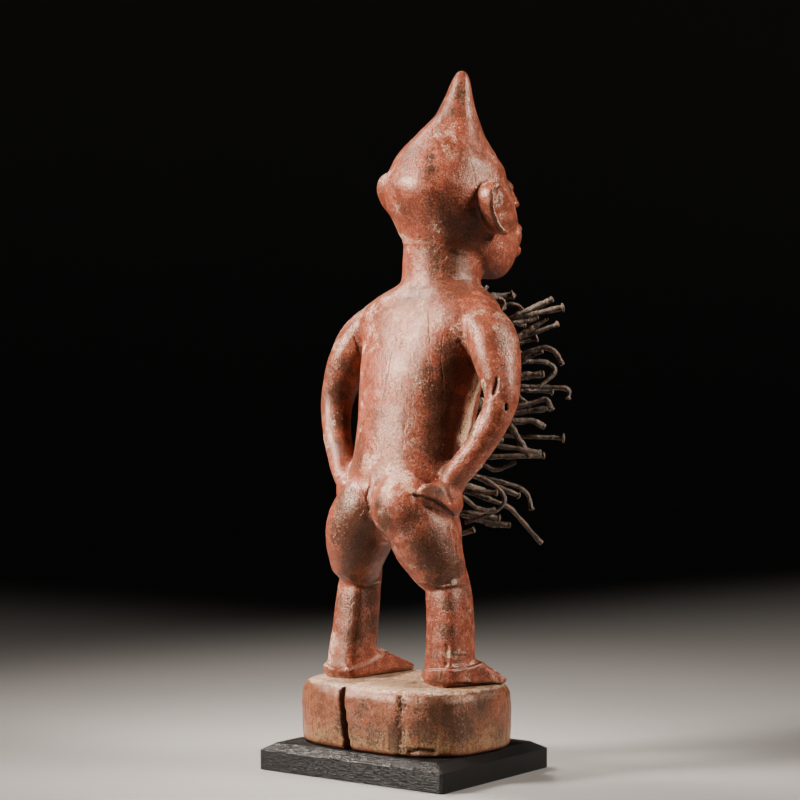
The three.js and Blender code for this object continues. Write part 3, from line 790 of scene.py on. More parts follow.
def ears(carving):
    """A groove along the rim's edge and a hollow bowl, on both ears alike, with painted shade in them and a
    painted highlight on the rim's inner edge.
    """
    local = head_frame(carving.points)
    for path, width, amount, name, strength in EAR_CUTS:
        for side in (path, path * [-1, 1, 1] + LEFT_EAR_SHIFT):
            near = falloff(path_distance(local, side), width)
            carving.relief(amount * near)
            carving.tinge(name, near * strength)


# The cap's edge as a slanting plane in the head's own frame: a place on it (y, z), the way up from it,
# and how far the face lies below the cap
CAP_EDGE = (-27, 472)
CAP_SLANT = (27 / 33.6, 20 / 33.6)
CAP_STEP = 1.3


def cap_edge(carving):
    """The face lies a step below the edge of the cap."""
    _, y, z = head_frame(carving.points).T
    above = CAP_SLANT[0] * (y - CAP_EDGE[0]) + CAP_SLANT[1] * (z - CAP_EDGE[1])
    on_head = smooth_step(z, 436, 442) * smooth_step(-y, -12, -6)
    carving.relief(-CAP_STEP * smooth_step(-above, -0.6, 0.8), on_head)


def scattered_colour(carving, seed, most_dust=0.26):
    """Broad stains and dust that carry on round the sides that aren't seen."""
    dark_mottle = noises(carving.points, seed, (1, 34), (0.5, 15))
    dust = noises(carving.points, seed + 2, (1, 30), (0.5, 12))
    up = np.clip(carving.normals[:, 2], 0, 1)
    carving.tinge("dark", 0.30 * smooth_step(dark_mottle, 0.15, 0.9))
    carving.tinge("pale", most_dust * smooth_step(dust + 0.5 * up, 0.25, 1.1))


# Relaxing of the joined forms: how often on the block, the trunk and the hips, and where these fade
BLOCK_ROUNDS, TRUNK_ROUNDS, HIP_ROUNDS = 5, 26, 70
TRUNK_SPAN = (100, 120), (402, 380)
HIP_SPAN = (140, 152), (200, 188)
HIP_BACK, HIP_MIDDLE = (2, 12), (46, 34)
HAND_SPAN = (11, 17)


def soften(made):
    """Draws the joined forms together, most of all behind the hips, and leaves the hands clear."""
    points = from_world(vertices(made) / MM)
    x, y, z = points.T
    clear = np.ones(len(points))
    for hand in both_sides(np.array(HAND)[1:, :3]):
        clear *= smooth_step(path_distance(points, hand), *HAND_SPAN)
    relaxed(made, BLOCK_ROUNDS, 0.5)
    relaxed(made, TRUNK_ROUNDS, 0.5 * between(z, *TRUNK_SPAN) * clear)
    behind = smooth_step(y, *HIP_BACK) * smooth_step(np.abs(x), *HIP_MIDDLE)
    relaxed(made, HIP_ROUNDS, 0.5 * between(z, *HIP_SPAN) * clear * behind)


def carve_marks(carving):
    """The steps, folds, holes and cracks that the photograph shows, and the cuts of the front. The dark laid
    under the hand, knees, skull, ankle, heel and sole, in the elbow fold, cleft, wrist, armpits, shin hollow
    and elbow hole, and between the fingers and toes is painted shade; the pale on the thumb's top and the
    ankle crest is painted highlight.
    """
    for hand in both_sides(carving.seen(HAND_UNDERCUT)):
        carving.ledge(hand, UP, 1.2, 6, groove=1.2, dark=0.9, sharp=0.7)
    # Painted highlight along the thumb's top edge.
    for thumb in both_sides(carving.seen(THUMB_TOP)):
        carving.dab(thumb, 1.2, "pale", 0.3)
    for wrist in both_sides(carving.seen(WRIST_VALLEY)):
        carving.stroke(wrist, 2.2, -1.0, dark=0.15)
    carving.stroke(ELBOW_FOLD, 1.5, -2.0, dark=0.7)
    carving.stroke(ELBOW_RIDGE, 2.6, 0.7, pale=0.2)
    for knee in (RIGHT_KNEE, LEFT_KNEE):
        carving.ledge(knee, UP, 1.5, 7, groove=0.3, dark=0.15, sharp=1.4)
        carving.ledge(knee, -UP, -1.5, 9, sharp=0.8)
    carving.ledge(SKULL_EDGE, UP, 0.8, 8, groove=0.15, dark=0.1, sharp=1.2)
    carving.ledge(ANKLE_STEP, -UP, 1.4, 8, groove=0.4, dark=0.15, sharp=0.9)
    carving.ledge(LEFT_HEEL_EDGE, -UP, 1.4, 5, groove=0.6, dark=0.3)
    carving.ledge(SOLE_GAP, UP, 1.0, 3, groove=2.0, dark=0.8)
    carving.ledge(BUTTOCK_CLEFT, RIGHT, 1.6, 9, groove=2.0, dark=0.6, sharp=1.4)
    carving.stroke(SHIN_HOLLOW, 2.4, -1.8, dark=0.15)
    carving.facet(ANKLE_BLOCK, lift=1.5, margin=1.8)
    # Painted highlight along the top of the ankle crest.
    carving.dab(ANKLE_CREST, 1.0, "pale", 0.5)
    for armpit in (LEFT_ARMPIT, RIGHT_ARMPIT):
        carving.stroke(armpit, 1.3, -0.8, dark=0.3)
    carving.pit(ELBOW_HOLE, 1.5, 5.5)
    for crack in HEAD_CRACKS + BACK_CRACKS + LIMB_CRACKS:
        carving.stroke(crack, 0.4, -0.4, dark=0.32)
    ears(carving)
    face(carving)
    for path in FINGER_GAPS:
        for gap in both_sides(path):
            carving.stroke(gap, 1.3, -1.3, dark=0.3)
    for heel, toe_turn, length in FEET:
        for across in TOE_GAPS:
            gap = [[*on_foot(heel, toe_turn, length * share, across), height]
                   for share, height in TOE_GAP_ENDS]
            carving.stroke(gap, 1.4, -1.6, dark=0.3)


def colour_body(carving):
    """Wear and dabs of colour (patina and dust, with painted shade and painted highlight), the crust beside
    the arm, and the bare band behind it.
    """
    carving.wear()
    for name, dabs in (("dark", PATINA_AND_SHADE_DABS), ("pale", DUST_AND_HIGHLIGHT_DABS), ("raw", OCHRE_DABS)):
        for px, py, radius, strength in dabs:
            carving.dab([(px, py)], radius, name, strength)
    band = path_distance(carving.points, carving.seen(PALE_BAND))
    carving.tinge("raw", smooth_step(band + 2.2 * value_noise(carving.points, 9, 50), 10, 3))
    rough = noises(carving.points, 61, (1, 5), (0.7, 2.2))
    crust = falloff(path_distance(carving.points, carving.seen(CRUST_EDGE)), 3.6)
    carving.relief(crust * (1.0 + 0.9 * rough))
    carving.layers["raw"] = np.where(crust > 0.3, 0.55, carving.layers["raw"])
    carving.tinge("dark", crust * (0.45 - 0.3 * rough))
    scattered_colour(carving, 21)


def carve_body():
    made = mesh_object("carved_figure", gathered(body_parts()))
    applied(made, "REMESH", mode="VOXEL", voxel_size=BODY_VOXEL * MM)
    soften(made)
    first = Carving(made)
    fine = [(HAND_UNDERCUT, 5), (ELBOW_FOLD, 5), (ELBOW_HOLE, 6), (ANKLE_STEP, 4), (SOLE_GAP, 4)]
    fine += [(crack, 2.2) for crack in BACK_CRACKS + HEAD_CRACKS]
    for path, radius in fine + [(ELBOW_HOLE, 5)]:
        refined(made, first.seen(path), radius)
    carving = Carving(made)
    carving.relief(noises(carving.points, 3, (0.55, 26), (0.28, 11), (0.10, 4.5)))
    cap_edge(carving)
    carve_marks(carving)
    colour_body(carving)
    return carving


# Drum: a wedge-shaped drying crack, a rough second one and a chipped foot
CRACK_FOOT_X = 7
CRACK_LEAN = 0.16
CRACK_HALF_WIDTH = 4
CRACK_DEPTH = 24
SECOND_CRACK = [(400, 697), (401, 708), (399, 720), (401, 733), (399, 746), (400, 753)]
DRUM_STAIN = [(393, 728), (394, 742), (398, 750)]
FOOT_CHIP = [(410, 753), (420, 751.5), (433, 753)]
TOP_CRACKS = [[(340, 686), (352, 682), (366, 681)], [(352, 683), (372, 679), (395, 678)],
              [(380, 690), (400, 688), (418, 690)], [(430, 690), (455, 693), (480, 692)]]
# Dark dabs on the drum: stain, with painted shade over its right half as the camera sees it.
DRUM_STAIN_AND_SHADE_DABS = [
    (440, 712, 20, 0.55), (460, 728, 18, 0.5), (425, 730, 14, 0.5), (480, 705, 14, 0.45),
    (372, 735, 14, 0.35), (362, 710, 12, 0.25), (500, 735, 12, 0.35),
]

# The drum's profile: height below its top, and how far its wall stands in
DRUM_PROFILE = [(-DRUM_HEIGHT, 3.5), (-DRUM_HEIGHT + 2, 1.4), (-DRUM_HEIGHT + 6, 0.4),
                (-DRUM_HEIGHT * 0.5, 0), (-12, 0.6), (-7, 1.8), (-3.5, 4), (-1.2, 7), (0, 11)]


def crack_x(height):
    """Middle of the wedge crack at a height below the drum's top."""
    return CRACK_FOOT_X + CRACK_LEAN * (height + DRUM_HEIGHT)


def crack_part():
    """The wedge to cut away, ragged and narrower towards the top."""
    draw = random.Random(5)
    face = DRUM_DEPTH / 2
    rings = []
    for height in np.linspace(-DRUM_HEIGHT - 3, 4, 22):
        rise = height + DRUM_HEIGHT
        x = crack_x(height) + draw.uniform(-0.5, 0.5)
        half = CRACK_HALF_WIDTH * (1 - 0.35 * rise / DRUM_HEIGHT) + draw.uniform(-0.4, 0.4)
        depth = CRACK_DEPTH * (1 - 0.5 * max(rise, 0) / DRUM_HEIGHT)
        rings.append(np.array([
            [x - half, face + 4, height], [x + half, face + 4, height], [x + half, face - 3, height],
            [x + half * 0.6 + draw.uniform(-0.4, 0.4), face - depth * 0.5, height],
            [x + 0.5, face - depth, height],
            [x - half * 0.6 + draw.uniform(-0.4, 0.4), face - depth * 0.5, height],
            [x - half, face - 3, height]]))
    return skin(rings)


def drum_part():
    wide, deep = DRUM_WIDTH / 2, DRUM_DEPTH / 2
    return stack([[height, DRUM_SHIFT, 0, wide - inset, deep - inset, deep - inset, 3]
                  for height, inset in DRUM_PROFILE], 140, 3)


def carve_drum():
    made = mesh_object("carved_drum", drum_part())
    wedge = mesh_object("crack_wedge", crack_part())
    applied(made, "BOOLEAN", operation="DIFFERENCE", object=wedge)
    bpy.data.objects.remove(wedge)
    applied(made, "REMESH", mode="VOXEL", voxel_size=DRUM_VOXEL * MM)
    relaxed(made, 3, 0.5)
    carving = Carving(made)
    points, level = carving.points, carving.normals[:, 2]
    side = 1 - np.abs(level)
    tool_marks(carving, side)
    second_crack(carving, points)
    for crack in TOP_CRACKS:
        carving.stroke(crack, 0.8, -0.9, dark=0.3)
    carving.dab(DRUM_STAIN, 8, "dark", 0.5)
    # The chip is darkened as painted shade.
    carving.stroke(FOOT_CHIP, 2.6, -2.6, dark=0.6)
    carving.wear(5)
    # Inside the wedge crack: painted shade, dark all through, with the bare wood taken away.
    inside = smooth_step(np.abs(points[:, 0] - crack_x(points[:, 2])), 7, 5) * (points[:, 1] > 30)
    inside *= smooth_step(DRUM_DEPTH / 2 - points[:, 1], 1.5, 5) * (1 - smooth_step(level, 0.4, 0.7))
    carving.tinge("dark", inside)
    carving.layers["raw"] *= 1 - inside
    top = smooth_step(level, 0.6, 0.95)
    low = smooth_step(points[:, 2] + 6 * value_noise(points, 20, 15), -14, -48) * side
    carving.tinge("pale", 0.30 * top)
    carving.tinge("raw", 0.5 * top)
    carving.tinge("raw", 0.40 * low)
    for px, py, radius, strength in DRUM_STAIN_AND_SHADE_DABS:
        carving.dab([(px, py)], radius, "dark", strength)
    scattered_colour(carving, 31, 0.04)
    return carving


def tool_marks(carving, side):
    """Upright adze facets round the drum's wall, dents, and fine upright grain."""
    points = carving.points
    angle = np.arctan2(points[:, 1], points[:, 0])
    facets = np.abs(np.sin(angle * 5.5 + 0.6 * value_noise(points, 60, 4)))
    carving.relief(-0.9 * (1 - facets) ** 2, side)
    carving.relief(noises(points, 9, (0.5, 22), (0.25, 8), (0.1, 3)))
    carving.relief(0.22 * value_noise(points * [1, 1, 0.12], 2.4, 12), side)


def second_crack(carving, points):
    """A column of rough splinters with a thin crack in it; its low places and the crack are darkened as
    painted shade.
    """
    splinter = value_noise(points * [1, 1, 0.3], 1.8, 13) + 0.8 * value_noise(points, 1.3, 14)
    cleft = carving.seen(SECOND_CRACK)
    near = falloff(path_distance(points, cleft), 3.4 + 1.6 * value_noise(points, 9, 16))
    carving.relief(1.1 * splinter * near - 0.8 * near)
    carving.tinge("raw", 0.6 * near * smooth_step(splinter, 0.1, 0.9))
    carving.tinge("dark", 0.85 * near * smooth_step(-splinter, -0.2, 0.4))
    carving.stroke(cleft, 0.9, -2.0, dark=0.8)


# Materials

class Shader:
    """A node material, written as expressions over sockets."""

    def __init__(self, name):
        self.material = bpy.data.materials.new(name)
        self.material.use_nodes = True
        self.tree = self.material.node_tree
        self.bsdf = self.tree.nodes["Principled BSDF"]
        self.place = self.node("TexCoord", {}, "Object")

    def put(self, socket, value):
        """Links or sets a socket. None leaves it as it is."""
        if isinstance(value, bpy.types.NodeSocket):
            self.tree.links.new(value, socket)
        elif isinstance(value, tuple) and len(value) == 3 and len(socket.default_value) == 4:
            socket.default_value = (*value, 1)
        elif value is not None:
            socket.default_value = value

    def node(self, kind, inputs, output=0, **settings):
        """The output of a new node, whose inputs are given by name or number."""
        made = self.tree.nodes.new("ShaderNode" + kind)
        for key, value in settings.items():
            setattr(made, key, value)
        for key, value in inputs.items():
            self.put(made.inputs[key], value)
        return made.outputs[output]

    def math(self, operation, first, second=0.0):
        return self.node("Math", {0: first, 1: second}, operation=operation)

    def times(self, first, second):
        return self.math("MULTIPLY", first, second)

    def mapped(self, scale=(1, 1, 1), offset=0.0):
        """Object place, scaled along its axes and moved."""
        location = (offset, 2 * offset, 3 * offset)
        return self.node("Mapping", {"Vector": self.place, "Location": location, "Scale": scale})

    def noise(self, scale, detail=4.0, roughness=0.55, place=None):
        return self.node("TexNoise", {"Vector": place or self.place, "Scale": scale, "Detail": detail,
                                      "Roughness": roughness}, "Fac")

    def warped(self, scale, amount):
        """Object place pushed about by noise."""
        wave = self.node("TexNoise", {"Vector": self.place, "Scale": scale}, "Color")
        return self.node("VectorMath", {0: wave, 1: (amount, amount, amount), 2: self.place},
                         operation="MULTIPLY_ADD")

    def cells(self, scale, feature="F1", place=None):
        """Distance within a cellular pattern."""
        return self.node("TexVoronoi", {"Vector": place or self.place, "Scale": scale}, "Distance",
                         feature=feature)

    def step(self, value, low, high):
        """From 0 at low to 1 at high, held between."""
        return self.node("MapRange", {"Value": value, "From Min": low, "From Max": high}, "Result",
                         interpolation_type="SMOOTHSTEP")

    def weighted(self, *terms):
        """Sum of values, each times its weight."""
        total = 0.0
        for value, weight in terms:
            total = self.node("Math", {0: value, 1: weight, 2: total}, operation="MULTIPLY_ADD")
        return total

    def layer(self, name):
        return self.node("Attribute", {}, "Fac", attribute_name=name)

    def mix(self, share, first, second):
        """Two colours in one."""
        return self.node("Mix", {0: share, 6: first, 7: second}, 2, data_type="RGBA")

    def over(self, colour, paint, value, low, high, most):
        """Paint over a colour where a value goes from low to high, at most by a share."""
        return self.mix(self.times(self.step(value, low, high), most), colour, paint)

    def blend(self, share, first, second):
        """Two numbers in one."""
        return self.node("Mix", {0: share, 2: first, 3: second}, data_type="FLOAT")

    def scaled(self, colour, factor):
        return self.node("VectorMath", {0: colour, "Scale": factor}, operation="SCALE")

    def bump(self, height, distance, strength=1.0, below=None):
        return self.node("Bump", {"Height": height, "Distance": distance, "Strength": strength,
                                  "Normal": below})

    def surface(self, colour, roughness, normal, metallic=0.0, specular=0.5, tint=(1, 1, 1)):
        """The material, with its principled shader's sockets set or linked."""
        for name, value in (("Base Color", colour), ("Roughness", roughness), ("Normal", normal),
                            ("Metallic", metallic), ("Specular IOR Level", specular),
                            ("Specular Tint", tint)):
            self.put(self.bsdf.inputs[name], value)
        return self.material


DARK_PATINA_AND_SHADE = (0.032, 0.017, 0.010)
PALE_DUST_AND_HIGHLIGHT = (0.60, 0.43, 0.32)
POLISH_TINT = (1, 0.76, 0.62)


def carved_wood(name, red, brown, pink, bare):
    """Polished stained wood: crisp-edged dark patina with painted shade, bare wood and pale dust with
    painted highlight over a mottled ground.
    """
    ochre = tuple(0.5 * value for value in bare)
    s = Shader(name)
    broad = s.noise(34, 9, 0.6)
    middle = s.noise(125, 8, 0.66)
    small = s.noise(420, 5, 0.65)
    tiny = s.noise(1000, 2, 0.6)
    grain = s.noise(1.0, 5, 0.6, s.mapped((420, 420, 24)))
    hair = s.noise(1.0, 2, 0.5, s.mapped((700, 700, 40)))
    crust = s.noise(360, 6, 0.8, s.mapped(offset=3.1))
    flecks = s.noise(480, 5, 0.75, s.mapped(offset=7.7))
    speck = s.noise(700, 3, 0.75, s.mapped(offset=1.3))
    crazing = s.cells(150, "DISTANCE_TO_EDGE", s.warped(260, 0.004))
    dark, pale, raw = s.layer("dark"), s.layer("pale"), s.layer("raw")

    colour = s.over(red, brown, broad, 0.58, 0.44, 0.6)
    colour = s.over(colour, pink, middle, 0.49, 0.54, 0.5)
    colour = s.over(colour, brown, small, 0.52, 0.58, 0.4)
    wood = s.over(s.mix(s.step(raw, 0.6, 0.95), ochre, bare), ochre, grain, 0.46, 0.60, 0.5)
    worn = s.weighted((raw, 1.0), (middle, 0.9), (small, 0.7), (grain, 0.5))
    colour = s.over(colour, wood, worn, 1.25, 1.5, 0.85)
    # The dark layer carries patina and painted shade, both laid down in this dark colour.
    dark_mottle = s.step(s.weighted((dark, 0.42), (flecks, 0.5), (middle, 0.5), (broad, 0.25)), 0.70, 0.77)
    colour = s.mix(s.math("MAXIMUM", s.times(dark_mottle, 0.8), s.times(dark, 0.78)), colour, DARK_PATINA_AND_SHADE)
    lines = s.times(s.step(crazing, 0.05, 0.0), s.step(broad, 0.46, 0.60))
    colour = s.mix(s.times(lines, 0.45), colour, DARK_PATINA_AND_SHADE)
    # The pale layer carries dust and painted highlight, both laid down in the pale dust colour.
    dust_and_highlight = s.step(s.weighted((pale, 0.42), (crust, 0.8), (middle, 0.2), (broad, 0.25)), 0.745, 0.78)
    rim = s.step(s.math("ABSOLUTE", s.math("SUBTRACT", middle, 0.515)), 0.014, 0.004)
    rim = s.times(rim, s.step(pale, 0.08, 0.25))
    dust_and_highlight = s.times(s.math("MAXIMUM", dust_and_highlight, rim), 0.62)
    colour = s.mix(dust_and_highlight, colour, PALE_DUST_AND_HIGHLIGHT)
    colour = s.over(colour, DARK_PATINA_AND_SHADE, hair, 0.65, 0.71, 0.45)
    colour = s.scaled(colour, s.blend(s.step(speck, 0.36, 0.64), 0.58, 1.42))

    rough = s.blend(dust_and_highlight, s.blend(speck, 0.22, 0.38), 0.85)
    height = s.weighted((small, 0.6), (grain, 0.4), (dark_mottle, -0.15), (dust_and_highlight, 0.2), (lines, -0.3))
    normal = s.bump(tiny, 0.0003, 0.5, s.bump(height, 0.0007, 0.8))
    return s.surface(colour, rough, normal, specular=0.46, tint=POLISH_TINT)


def black_wood():
    """Black-stained open-grained wood with a dusty sheen."""
    s = Shader("black_wood")
    grain = s.noise(1.0, 2, 0.5, s.mapped((110, 1300, 1300)))
    pores = s.step(grain, 0.52, 0.60)
    colour = s.mix(s.times(pores, 0.8), (0.012, 0.012, 0.0125), (0.002, 0.002, 0.002))
    colour = s.over(colour, (0.035, 0.034, 0.032), s.noise(60, 6, 0.65), 0.5, 0.8, 0.12)
    normal = s.bump(s.weighted((pores, -1.0), (grain, 0.8)), 0.0012)
    return s.surface(colour, s.blend(grain, 0.24, 0.44), normal, specular=0.16)


def resin_pack():
    """Dry clay and resin, caked, pitted and dusty."""
    s = Shader("resin_pack")
    broad, middle, fine = s.noise(30, 10, 0.65), s.noise(120, 10, 0.7), s.noise(420, 8, 0.7)
    pits = s.step(s.cells(240), 0.05, 0.32)
    colour = s.mix(s.step(broad, 0.38, 0.60), (0.13, 0.095, 0.062), (0.36, 0.29, 0.20))
    colour = s.over(colour, (0.56, 0.47, 0.34), middle, 0.48, 0.62, 0.7)
    colour = s.over(colour, (0.05, 0.033, 0.02), fine, 0.54, 0.66, 0.7)
    colour = s.mix(s.times(s.math("SUBTRACT", 1.0, pits), 0.6), colour, (0.045, 0.03, 0.02))
    height = s.weighted((middle, 0.7), (fine, 0.4), (pits, 0.25))
    return s.surface(colour, 0.93, s.bump(height, 0.0018))


def forged_iron():
    """Grey-brown forge scale with orange rust, pits and dust."""
    s = Shader("forged_iron")
    broad, middle, fine = s.noise(60, 8, 0.65), s.noise(260, 4, 0.7), s.noise(650, 2, 0.6)
    colour = s.mix(s.step(broad, 0.40, 0.60), (0.035, 0.026, 0.02), (0.115, 0.085, 0.065))
    colour = s.over(colour, (0.20, 0.075, 0.03), s.noise(110, 8, 0.7), 0.53, 0.64, 0.7)
    colour = s.over(colour, (0.30, 0.235, 0.18), middle, 0.52, 0.64, 0.7)
    colour = s.over(colour, (0.02, 0.014, 0.010), fine, 0.54, 0.64, 0.75)
    height = s.weighted((middle, 0.8), (fine, 0.4), (broad, 0.5))
    return s.surface(colour, s.blend(fine, 0.5, 0.85), s.bump(height, 0.002), 0.15)


# Nails: height and bearing of the entry, heading, head size, then reach and rise of each bend

NAIL_SHANK = 4.2
NAIL_SEAT_DEPTH = 13
HEAD_THICKNESS = 2
SIDE_NAILS = [
    [322, 58, 40, 1, [12, 11], [9, 17], [-4, 18], [-9, 23], [-5, 28]],
    [328, 46, 50, 1, [11, 3], [25, 7], [33, 5], [38, -1]],
    [314, 64, 61, 1.5, [11, 5], [49, 23]],
    [317, 53, 50, 2.6, [30, 6], [65, 14]],
    [315, 34, 42, 1.3, [32, 3], [50, 5], [55, 8]],
    [286, 45, 49, 1.4, [36, 21], [58, 35]],
    [292, 61, 59, 1.4, [29, 11], [61, 23]],
    [288, 53, 53, 2.2, [32, 11], [45, 15]],
    [272, 62, 60, 1.2, [34, 16], [46, 21], [56, 23], [64, 19], [69, 9]],
    [281, 37, 42, 1, [40, 2], [64, 2], [72, -3], [72, -9], [60, -19]],
    [263, 63, 62, 1.4, [36, 6], [53, 8]],
    [261, 54, 54, 1.6, [37, -1], [75, -2], [79, -5], [78, -10]],
    [259, 35, 42, 2, [52, -2], [71, -3]],
    [252, 58, 60, 1, [30, 4], [37, -3], [45, -9]],
    [235, 64, 60, 1.3, [39, 8], [52, 11], [62, 15], [66, 6]],
    [232, 45, 48, 1.3, [41, 5], [64, 8]],
    [228, 55, 54, 1.2, [37, 1], [51, 2], [60, -3]],
    [240, 58, 66, 1.1, [24, -6], [32, -18], [46, -41]],
    [217, 50, 52, 2.3, [32, -1], [80, -3]],
    [210, 62, 60, 1.3, [27, -3], [41, -5], [59, -8]],
    [197, 38, 45, 1.9, [23, 0], [71, 1]],
    [198, 58, 56, 1, [13, -7], [21, -12], [27, -12], [41, -5]],
    [184, 62, 60, 1.2, [8, -3], [20, -8], [29, -15], [34, -23], [30, -32], [13, -39], [0, -44]],
    [182, 45, 48, 1.6, [24, -4], [38, -8], [51, -12], [59, -19], [61, -30]],
    [186, 30, 38, 1.4, [38, -16], [56, -24]],
    [169, 54, 52, 1.6, [8, -2], [29, -3]],
    [169, 47, 49, 1.4, [8, -3], [39, -14], [46, -18], [57, -31], [71, -47]],
    [163, 64, 58, 1, [4, -3], [12, -10], [21, -13], [29, -11]],
    [151, 37, 43, 1.4, [28, -10], [37, -14], [53, -15]],
    [150, 48, 49, 1.6, [25, -4], [40, -7]],
    [131, 58, 56, 1.9, [17, -3], [30, 2]],
]
COLUMN_BEARINGS = [-62, -38, -14, 10]
COLUMN_ROWS = 5
COLUMN_LOW, COLUMN_HIGH = 0.16, 0.84
FRONT_REACH = 60
FRONT_HEAD_SIZES = [1, 2.1, 1.3, 1.6]


def front_nails():
    crotch, top = TRUNK[0][0], TRUNK[-1][0]
    nails = []
    for column, bearing in enumerate(COLUMN_BEARINGS):
        for row in range(COLUMN_ROWS):
            step = (row + (column % 2) / 2) / (COLUMN_ROWS - 0.5)
            height = crotch + (top - crotch) * (COLUMN_LOW + (COLUMN_HIGH - COLUMN_LOW) * step)
            sway = math.sin(3.1 * row + 1.9 * column)
            rise = math.cos(2.3 * row + 1.1 * column)
            reach = FRONT_REACH + 9 * sway
            bends = [[reach * 0.6, 7 * rise]]
            bends.append([reach * 0.85, 9 * rise - 12 * sway] if row % 3 == 1 else [reach, 12 * rise])
            size = FRONT_HEAD_SIZES[(row + 2 * column) % len(FRONT_HEAD_SIZES)]
            nails.append([height, bearing + 4 * rise, bearing * 0.9 + 5 * sway, size, *bends])
    return nails


def bearing_way(bearing):
    """Level direction at a bearing in degrees, from the front towards the figure's right."""
    return np.array([-math.sin(math.radians(bearing)), -math.cos(math.radians(bearing)), 0])


def flank_point(height, bearing):
    """Point where a bearing meets the trunk at a height."""
    table = np.array(TRUNK, float)
    x, y, half_width, front, rear, squareness = (
        np.interp(height, table[:, 0], table[:, k]) for k in range(1, 7))
    way = bearing_way(bearing)
    reach = front if way[1] < 0 else rear
    size = (abs(way[0]) / half_width) ** squareness + (abs(way[1]) / reach) ** squareness
    return np.array([x, y, height]) + way * size ** (-1 / squareness)


def nail_path(row):
    """Centre line of a nail from its point in the wood to its head."""
    height, bearing, heading, _, *bends = row
    entry = flank_point(height, bearing)
    path = [entry + bearing_way(heading) * reach + UP * rise for reach, rise in bends]
    inward = entry - path[0]
    path.insert(0, entry + unit(inward) * NAIL_SEAT_DEPTH)
    return np.array(path)


def rounded(path, rounds=2):
    """A polyline with its corners cut, its ends kept."""
    for _ in range(rounds):
        near = path[:-1] * 0.8 + path[1:] * 0.2
        far = path[:-1] * 0.2 + path[1:] * 0.8
        path = np.concatenate([path[:1], np.stack([near, far], 1).reshape(-1, 3)[1:-1], path[-1:]])
    return path


def resampled(path, spacing):
    """A path in even steps, and how far along it each step is."""
    lengths = np.concatenate([[0], np.cumsum(np.linalg.norm(np.diff(path, axis=0), axis=1))])
    steps = np.linspace(0, lengths[-1], max(int(lengths[-1] / spacing), 4))
    return np.stack([np.interp(steps, lengths, path[:, k]) for k in range(3)], -1), steps


# A nail's shank: sides, squareness and how far apart its rings are. Its head: each ring's place and width
NAIL_SIDES = 12
NAIL_SQUARENESS = 3.4
NAIL_RING_SPACING = 1.5
NAIL_HEAD_RINGS = ((0.2, 0.75), (0.5, 1.0), (1.0, 1.04), (1.5, 0.9), (1.8, 0.55))


def forged_nail(row, seed):
    """Square, uneven, slightly twisted shank with a beaten head."""
    draw = random.Random(seed)
    path, steps = resampled(rounded(nail_path(row)), NAIL_RING_SPACING)
    angle = np.arange(NAIL_SIDES) / NAIL_SIDES * 2 * math.pi
    cos, sin = np.cos(angle), np.sin(angle)
    square = (np.abs(cos) ** NAIL_SQUARENESS + np.abs(sin) ** NAIL_SQUARENESS) ** (-1 / NAIL_SQUARENESS)
    level = unit(np.cross(path[-1] - path[0], UP))
    twist, lean = draw.uniform(-0.02, 0.02), draw.uniform(0, 1.5)
    thick = NAIL_SHANK / 2 * draw.choice((1.0, 1.1, 1.3, 1.5)) * draw.uniform(0.95, 1.08)
    flat = draw.uniform(0.72, 1)

    def beaten(strength, x, y, z):
        places = np.stack([x, y, np.full(NAIL_SIDES, z)], -1)
        return 1 + strength * value_noise(places, 1.0, seed)

    def ring(centre, along, radius, turn):
        side = unit(level - along * (level @ along))
        a = angle + turn
        across = (radius * np.cos(a))[:, None] * side
        return centre + across + (flat * radius * np.sin(a))[:, None] * np.cross(along, side)

    rings = []
    for i, (centre, at) in enumerate(zip(path, steps)):
        along = unit(path[min(i + 1, len(path) - 1)] - path[max(i - 1, 0)])
        taper = 0.3 + 0.7 * min(at / NAIL_SEAT_DEPTH, 1)
        uneven = 1 + 0.09 * math.sin(at * 0.31 + seed) + 0.06 * math.sin(at * 0.9 + 2 * seed)
        lumps = beaten(0.2, cos * 2 + seed, sin * 2, at / 4)
        rings.append(ring(centre, along, thick * taper * uneven * lumps * square, lean + twist * at))
    along = unit(path[-1] - path[-2])
    edge = beaten(0.16, cos * 1.6, sin * 1.6, seed)
    if row[3] > 1:
        size = row[3] * NAIL_SHANK / 2 * 1.08
        for step, share in NAIL_HEAD_RINGS:
            rings.append(ring(path[-1], along, size * share * edge, lean)
                         + along * step * HEAD_THICKNESS / 1.3)
    else:
        rings.append(ring(path[-1], along, thick * 0.8 * edge * square, lean) + along * 0.5)
    return skin(rings)


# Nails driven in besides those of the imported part: how many, how far apart, and where they may start
MORE_NAILS = 46
NAIL_CLEARANCE = 6.2
ARM_CLEARANCE = 4
BOX_MARGIN = 4
MORE_BEARINGS = (-70, 68)
MORE_HEIGHTS = (176, 342)
MORE_REACHES = (16, 58)
HIGHEST_TIP = 352
MORE_HEAD_SIZES = (1, 1.2, 1.3, 1.5, 1.8, 2.3)
SAMPLE_SPACING = 2
SEATED_SAMPLES = 6

# Space kept for the pack: half its width, its front, its foot and its top
PACK_SPACE = (53, -92, 174, 268)


def clear_of_arms(samples):
    for table in (ARM, HAND):
        rows = eased(table, 4)
        for side in (-1, 1):
            distance = np.linalg.norm(samples[:, None] - rows[None, :, :3] * [side, 1, 1], axis=2)
            if (distance < rows[:, 3:5].max(1) + ARM_CLEARANCE).any():
                return False
    return True


def clear_of_pack(samples):
    half_width, front, foot_height, top = PACK_SPACE
    x, y, z = samples.T
    return not ((np.abs(x) < half_width) & (z > foot_height) & (z < top) & (y > front)).any()


def inside_box(samples):
    low, high = (np.array(corner) / MM for corner in cad_bounds)
    world = to_world(samples) / MM
    return (world > low + BOX_MARGIN).all() and (world < high - BOX_MARGIN).all()


